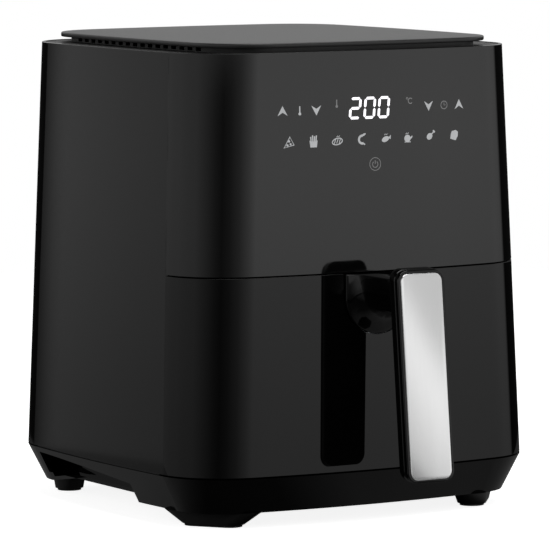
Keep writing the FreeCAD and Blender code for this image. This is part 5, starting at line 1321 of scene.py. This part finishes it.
def make_tray():
    """The crisper tray: a plate with a rolled edge, its holes countersunk, on four feet."""
    thick, corner, hole, hole_pitch, holes_a_side, foot_inset, foot = 2, 19, 3.2, 15, 11, 24, 5
    low, high = box_of("crisper_tray")
    half_width, half_depth, top = high.x, (high.y - low.y) / 2, high.z
    middle = (low.y + high.y) / 2 - MIDDLE_Y
    rings = []
    for inset, drop in ((1.2, 0), (0.4, 0.2), (0, 0.7), (0, thick - 0.4), (0.4, thick)):
        loop = rounded_outline(half_width - inset, half_depth - inset, corner, 10)
        rings.append([(x, y + middle, top - drop) for x, y in loop])
    plate = template("tray_plate", skin(rings))
    drill = template("drill", skin(lathe([(hole, -2 * thick), (hole, -0.5), (hole + 1, 0.6)], 14)))
    tree = Growth(
        "crisper_tray", "pan_coating",
        Drill=drill, Plate=plate, Columns=holes_a_side, Lines=holes_a_side, Pitch=hole_pitch * MM,
    )
    grid = tree.node("GeometryNodeMeshGrid", inputs={
        "Vertices X": tree["Columns"], "Vertices Y": tree["Lines"],
        "Size X": (tree["Columns"] - 1.0) * tree["Pitch"], "Size Y": (tree["Lines"] - 1.0) * tree["Pitch"],
    })[0]
    inputs = {"Geometry": grid, "Translation": Vector((0, middle, top)) * MM}
    moved = tree.node("GeometryNodeTransform", inputs=inputs)[0]
    drills = tree.realized(tree.instances(moved, tree.shape_of("Drill")))
    inputs = {"Mesh 1": tree.shape_of("Plate"), "Mesh 2": drills}
    mesh = tree.grow(tree.node("GeometryNodeMeshBoolean", {"operation": "DIFFERENCE"}, inputs)[0])
    mesh.transform(Matrix.Translation((0, MIDDLE_Y * MM, 0)))
    piece("tray_plate", mesh, "crisper", "pan_coating", "crisper_tray")

    profile = [(foot - 0.8, low.z), (foot, low.z + 0.8), (foot, top - thick + 0.2)]
    tree = Growth("tray_feet", "pan_coating", Template=template("tray_foot", skin(lathe(profile, 20))))
    out, back = half_width - foot_inset, half_depth - foot_inset
    places = [
        Vector((side * out, middle + MIDDLE_Y + end * back, 0)) * MM for side in (-1, 1) for end in (-1, 1)
    ]
    feet = tree.grow(tree.instances(tree["Geometry"], tree.shape_of("Template")), places)
    piece("tray_feet", feet, "crisper", "pan_coating")


# ---------------------------------------------------------------- the rest of the frame

def dress_frame():
    """Every CAD piece that is shown gets its finish."""
    for name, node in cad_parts.items():
        node.data.materials.clear()
        node.data.materials.append(FINISH[packed_finish[name]])


# ---------------------------------------------------------------- the light

def make_tent():
    """A light tent: a bright wall on the right, a dimmer one on the left, and dark gaps for the corners."""
    tent_radius, ceiling_level = 1.7, 0.55
    paint = Paint("tent_light")
    height = paint.axes()[2]
    wall = paint.round_about([
        (-180, 0.01), (-91, 0.01), (-85, 0.45), (-70, 0.7), (-40, 0.95), (-12, 0.95), (0, 0.6), (14, 0.28),
        (28, 0.12), (40, 0.06), (50, 0.12), (62, 0.24), (80, 0.42), (109, 0.46), (139, 0.36), (154, 0.37),
        (157, 0.01), (180, 0.01),
    ])
    above = height.ramp(0.3, 0.45)
    level = wall * height.ramp(-0.16, 0.24, 0.62, 1.0) * (1 - above) + above * ceiling_level
    rings = [
        [(x, y, z) for x, y in circle(0, 0, tent_radius, steps=64)] for z in (-0.3, -0.1, 0.3, 0.8, 1.4)
    ]
    light_only("light_tent", rings, paint.ended(paint.glow(level)))


def make_table_light():
    """The glow that the table throws up at the base, stronger on some sides than on others."""
    paint = Paint("table_light")
    level = paint.round_about([
        (-180, 0.02), (-115, 0.03), (-85, 0.11), (-30, 0.17), (0, 0.15), (22, 0.03), (48, 0.02), (64, 0.12),
        (90, 0.15), (150, 0.13), (170, 0.02), (180, 0.02),
    ], MIDDLE_Y * MM)
    rings = []
    for out in (-15, 60, 180, 360):
        loop = round_body(body_outline(SEAM_Z, -out))
        rings.append([(x * MM, (y + MIDDLE_Y) * MM, -0.004) for x, y in loop])
    light_only("table_light", rings, paint.ended(paint.glow(level)))


def light_only(name, rings, material):
    """A glowing surface that the camera doesn't see."""
    shape = skin(rings, capped=False)
    mesh = bpy.data.meshes.new(name)
    shape.to_mesh(mesh)
    shape.free()
    mesh.materials.append(material)
    glowing = shown(name, mesh)
    glowing.visible_camera = False


def make_floor():
    """A plain pale floor."""
    floor_radius = 1.65
    paint = Paint("pale_floor")
    matt = paint.node("ShaderNodeBsdfDiffuse", inputs={"Color": rgba(0.8)})
    paint.ended(paint.node("ShaderNodeAddShader", inputs={0: matt[0], 1: paint.glow(0.88)[0]}))
    mesh = bpy.data.meshes.new("floor")
    rim = [(x, y, 0) for x, y in circle(0, 0, floor_radius, steps=96)]
    mesh.from_pydata(rim, [], [tuple(range(len(rim)))])
    mesh.materials.append(paint.material)
    floor = shown("floor", mesh)
    floor.visible_glossy = False
    floor.visible_diffuse = False


def make_world():
    """White to look at; the tent and the overhead light do the lighting."""
    world = bpy.data.worlds.new("studio")
    bpy.context.scene.world = world
    world.use_nodes = True
    back = world.node_tree.nodes["Background"]
    back.inputs["Color"].default_value = WHITE
    seen = world.node_tree.nodes.new("ShaderNodeLightPath")
    world.node_tree.links.new(seen.outputs["Is Camera Ray"], back.inputs["Strength"])


def make_overhead():
    """A soft square lamp over the lid."""
    lamp = bpy.data.lights.new("overhead", "AREA")
    lamp.shape, lamp.size, lamp.size_y, lamp.energy = "RECTANGLE", 1.6, 1.6, 26
    hung = shown("overhead", lamp)
    hung.location = (0.2, -0.5, 2.0)
    hung.rotation_euler = (math.radians(-14), 0, 0)


make_camera()
make_world()
make_tent()
make_table_light()
make_floor()
make_overhead()
dress_frame()
make_shells()
make_controls()
make_lid()
make_handle()
make_screws()
make_springs()
make_heater()
make_grille()
make_fans()
make_tray()

bpy.context.scene.view_settings.view_transform = "Standard"
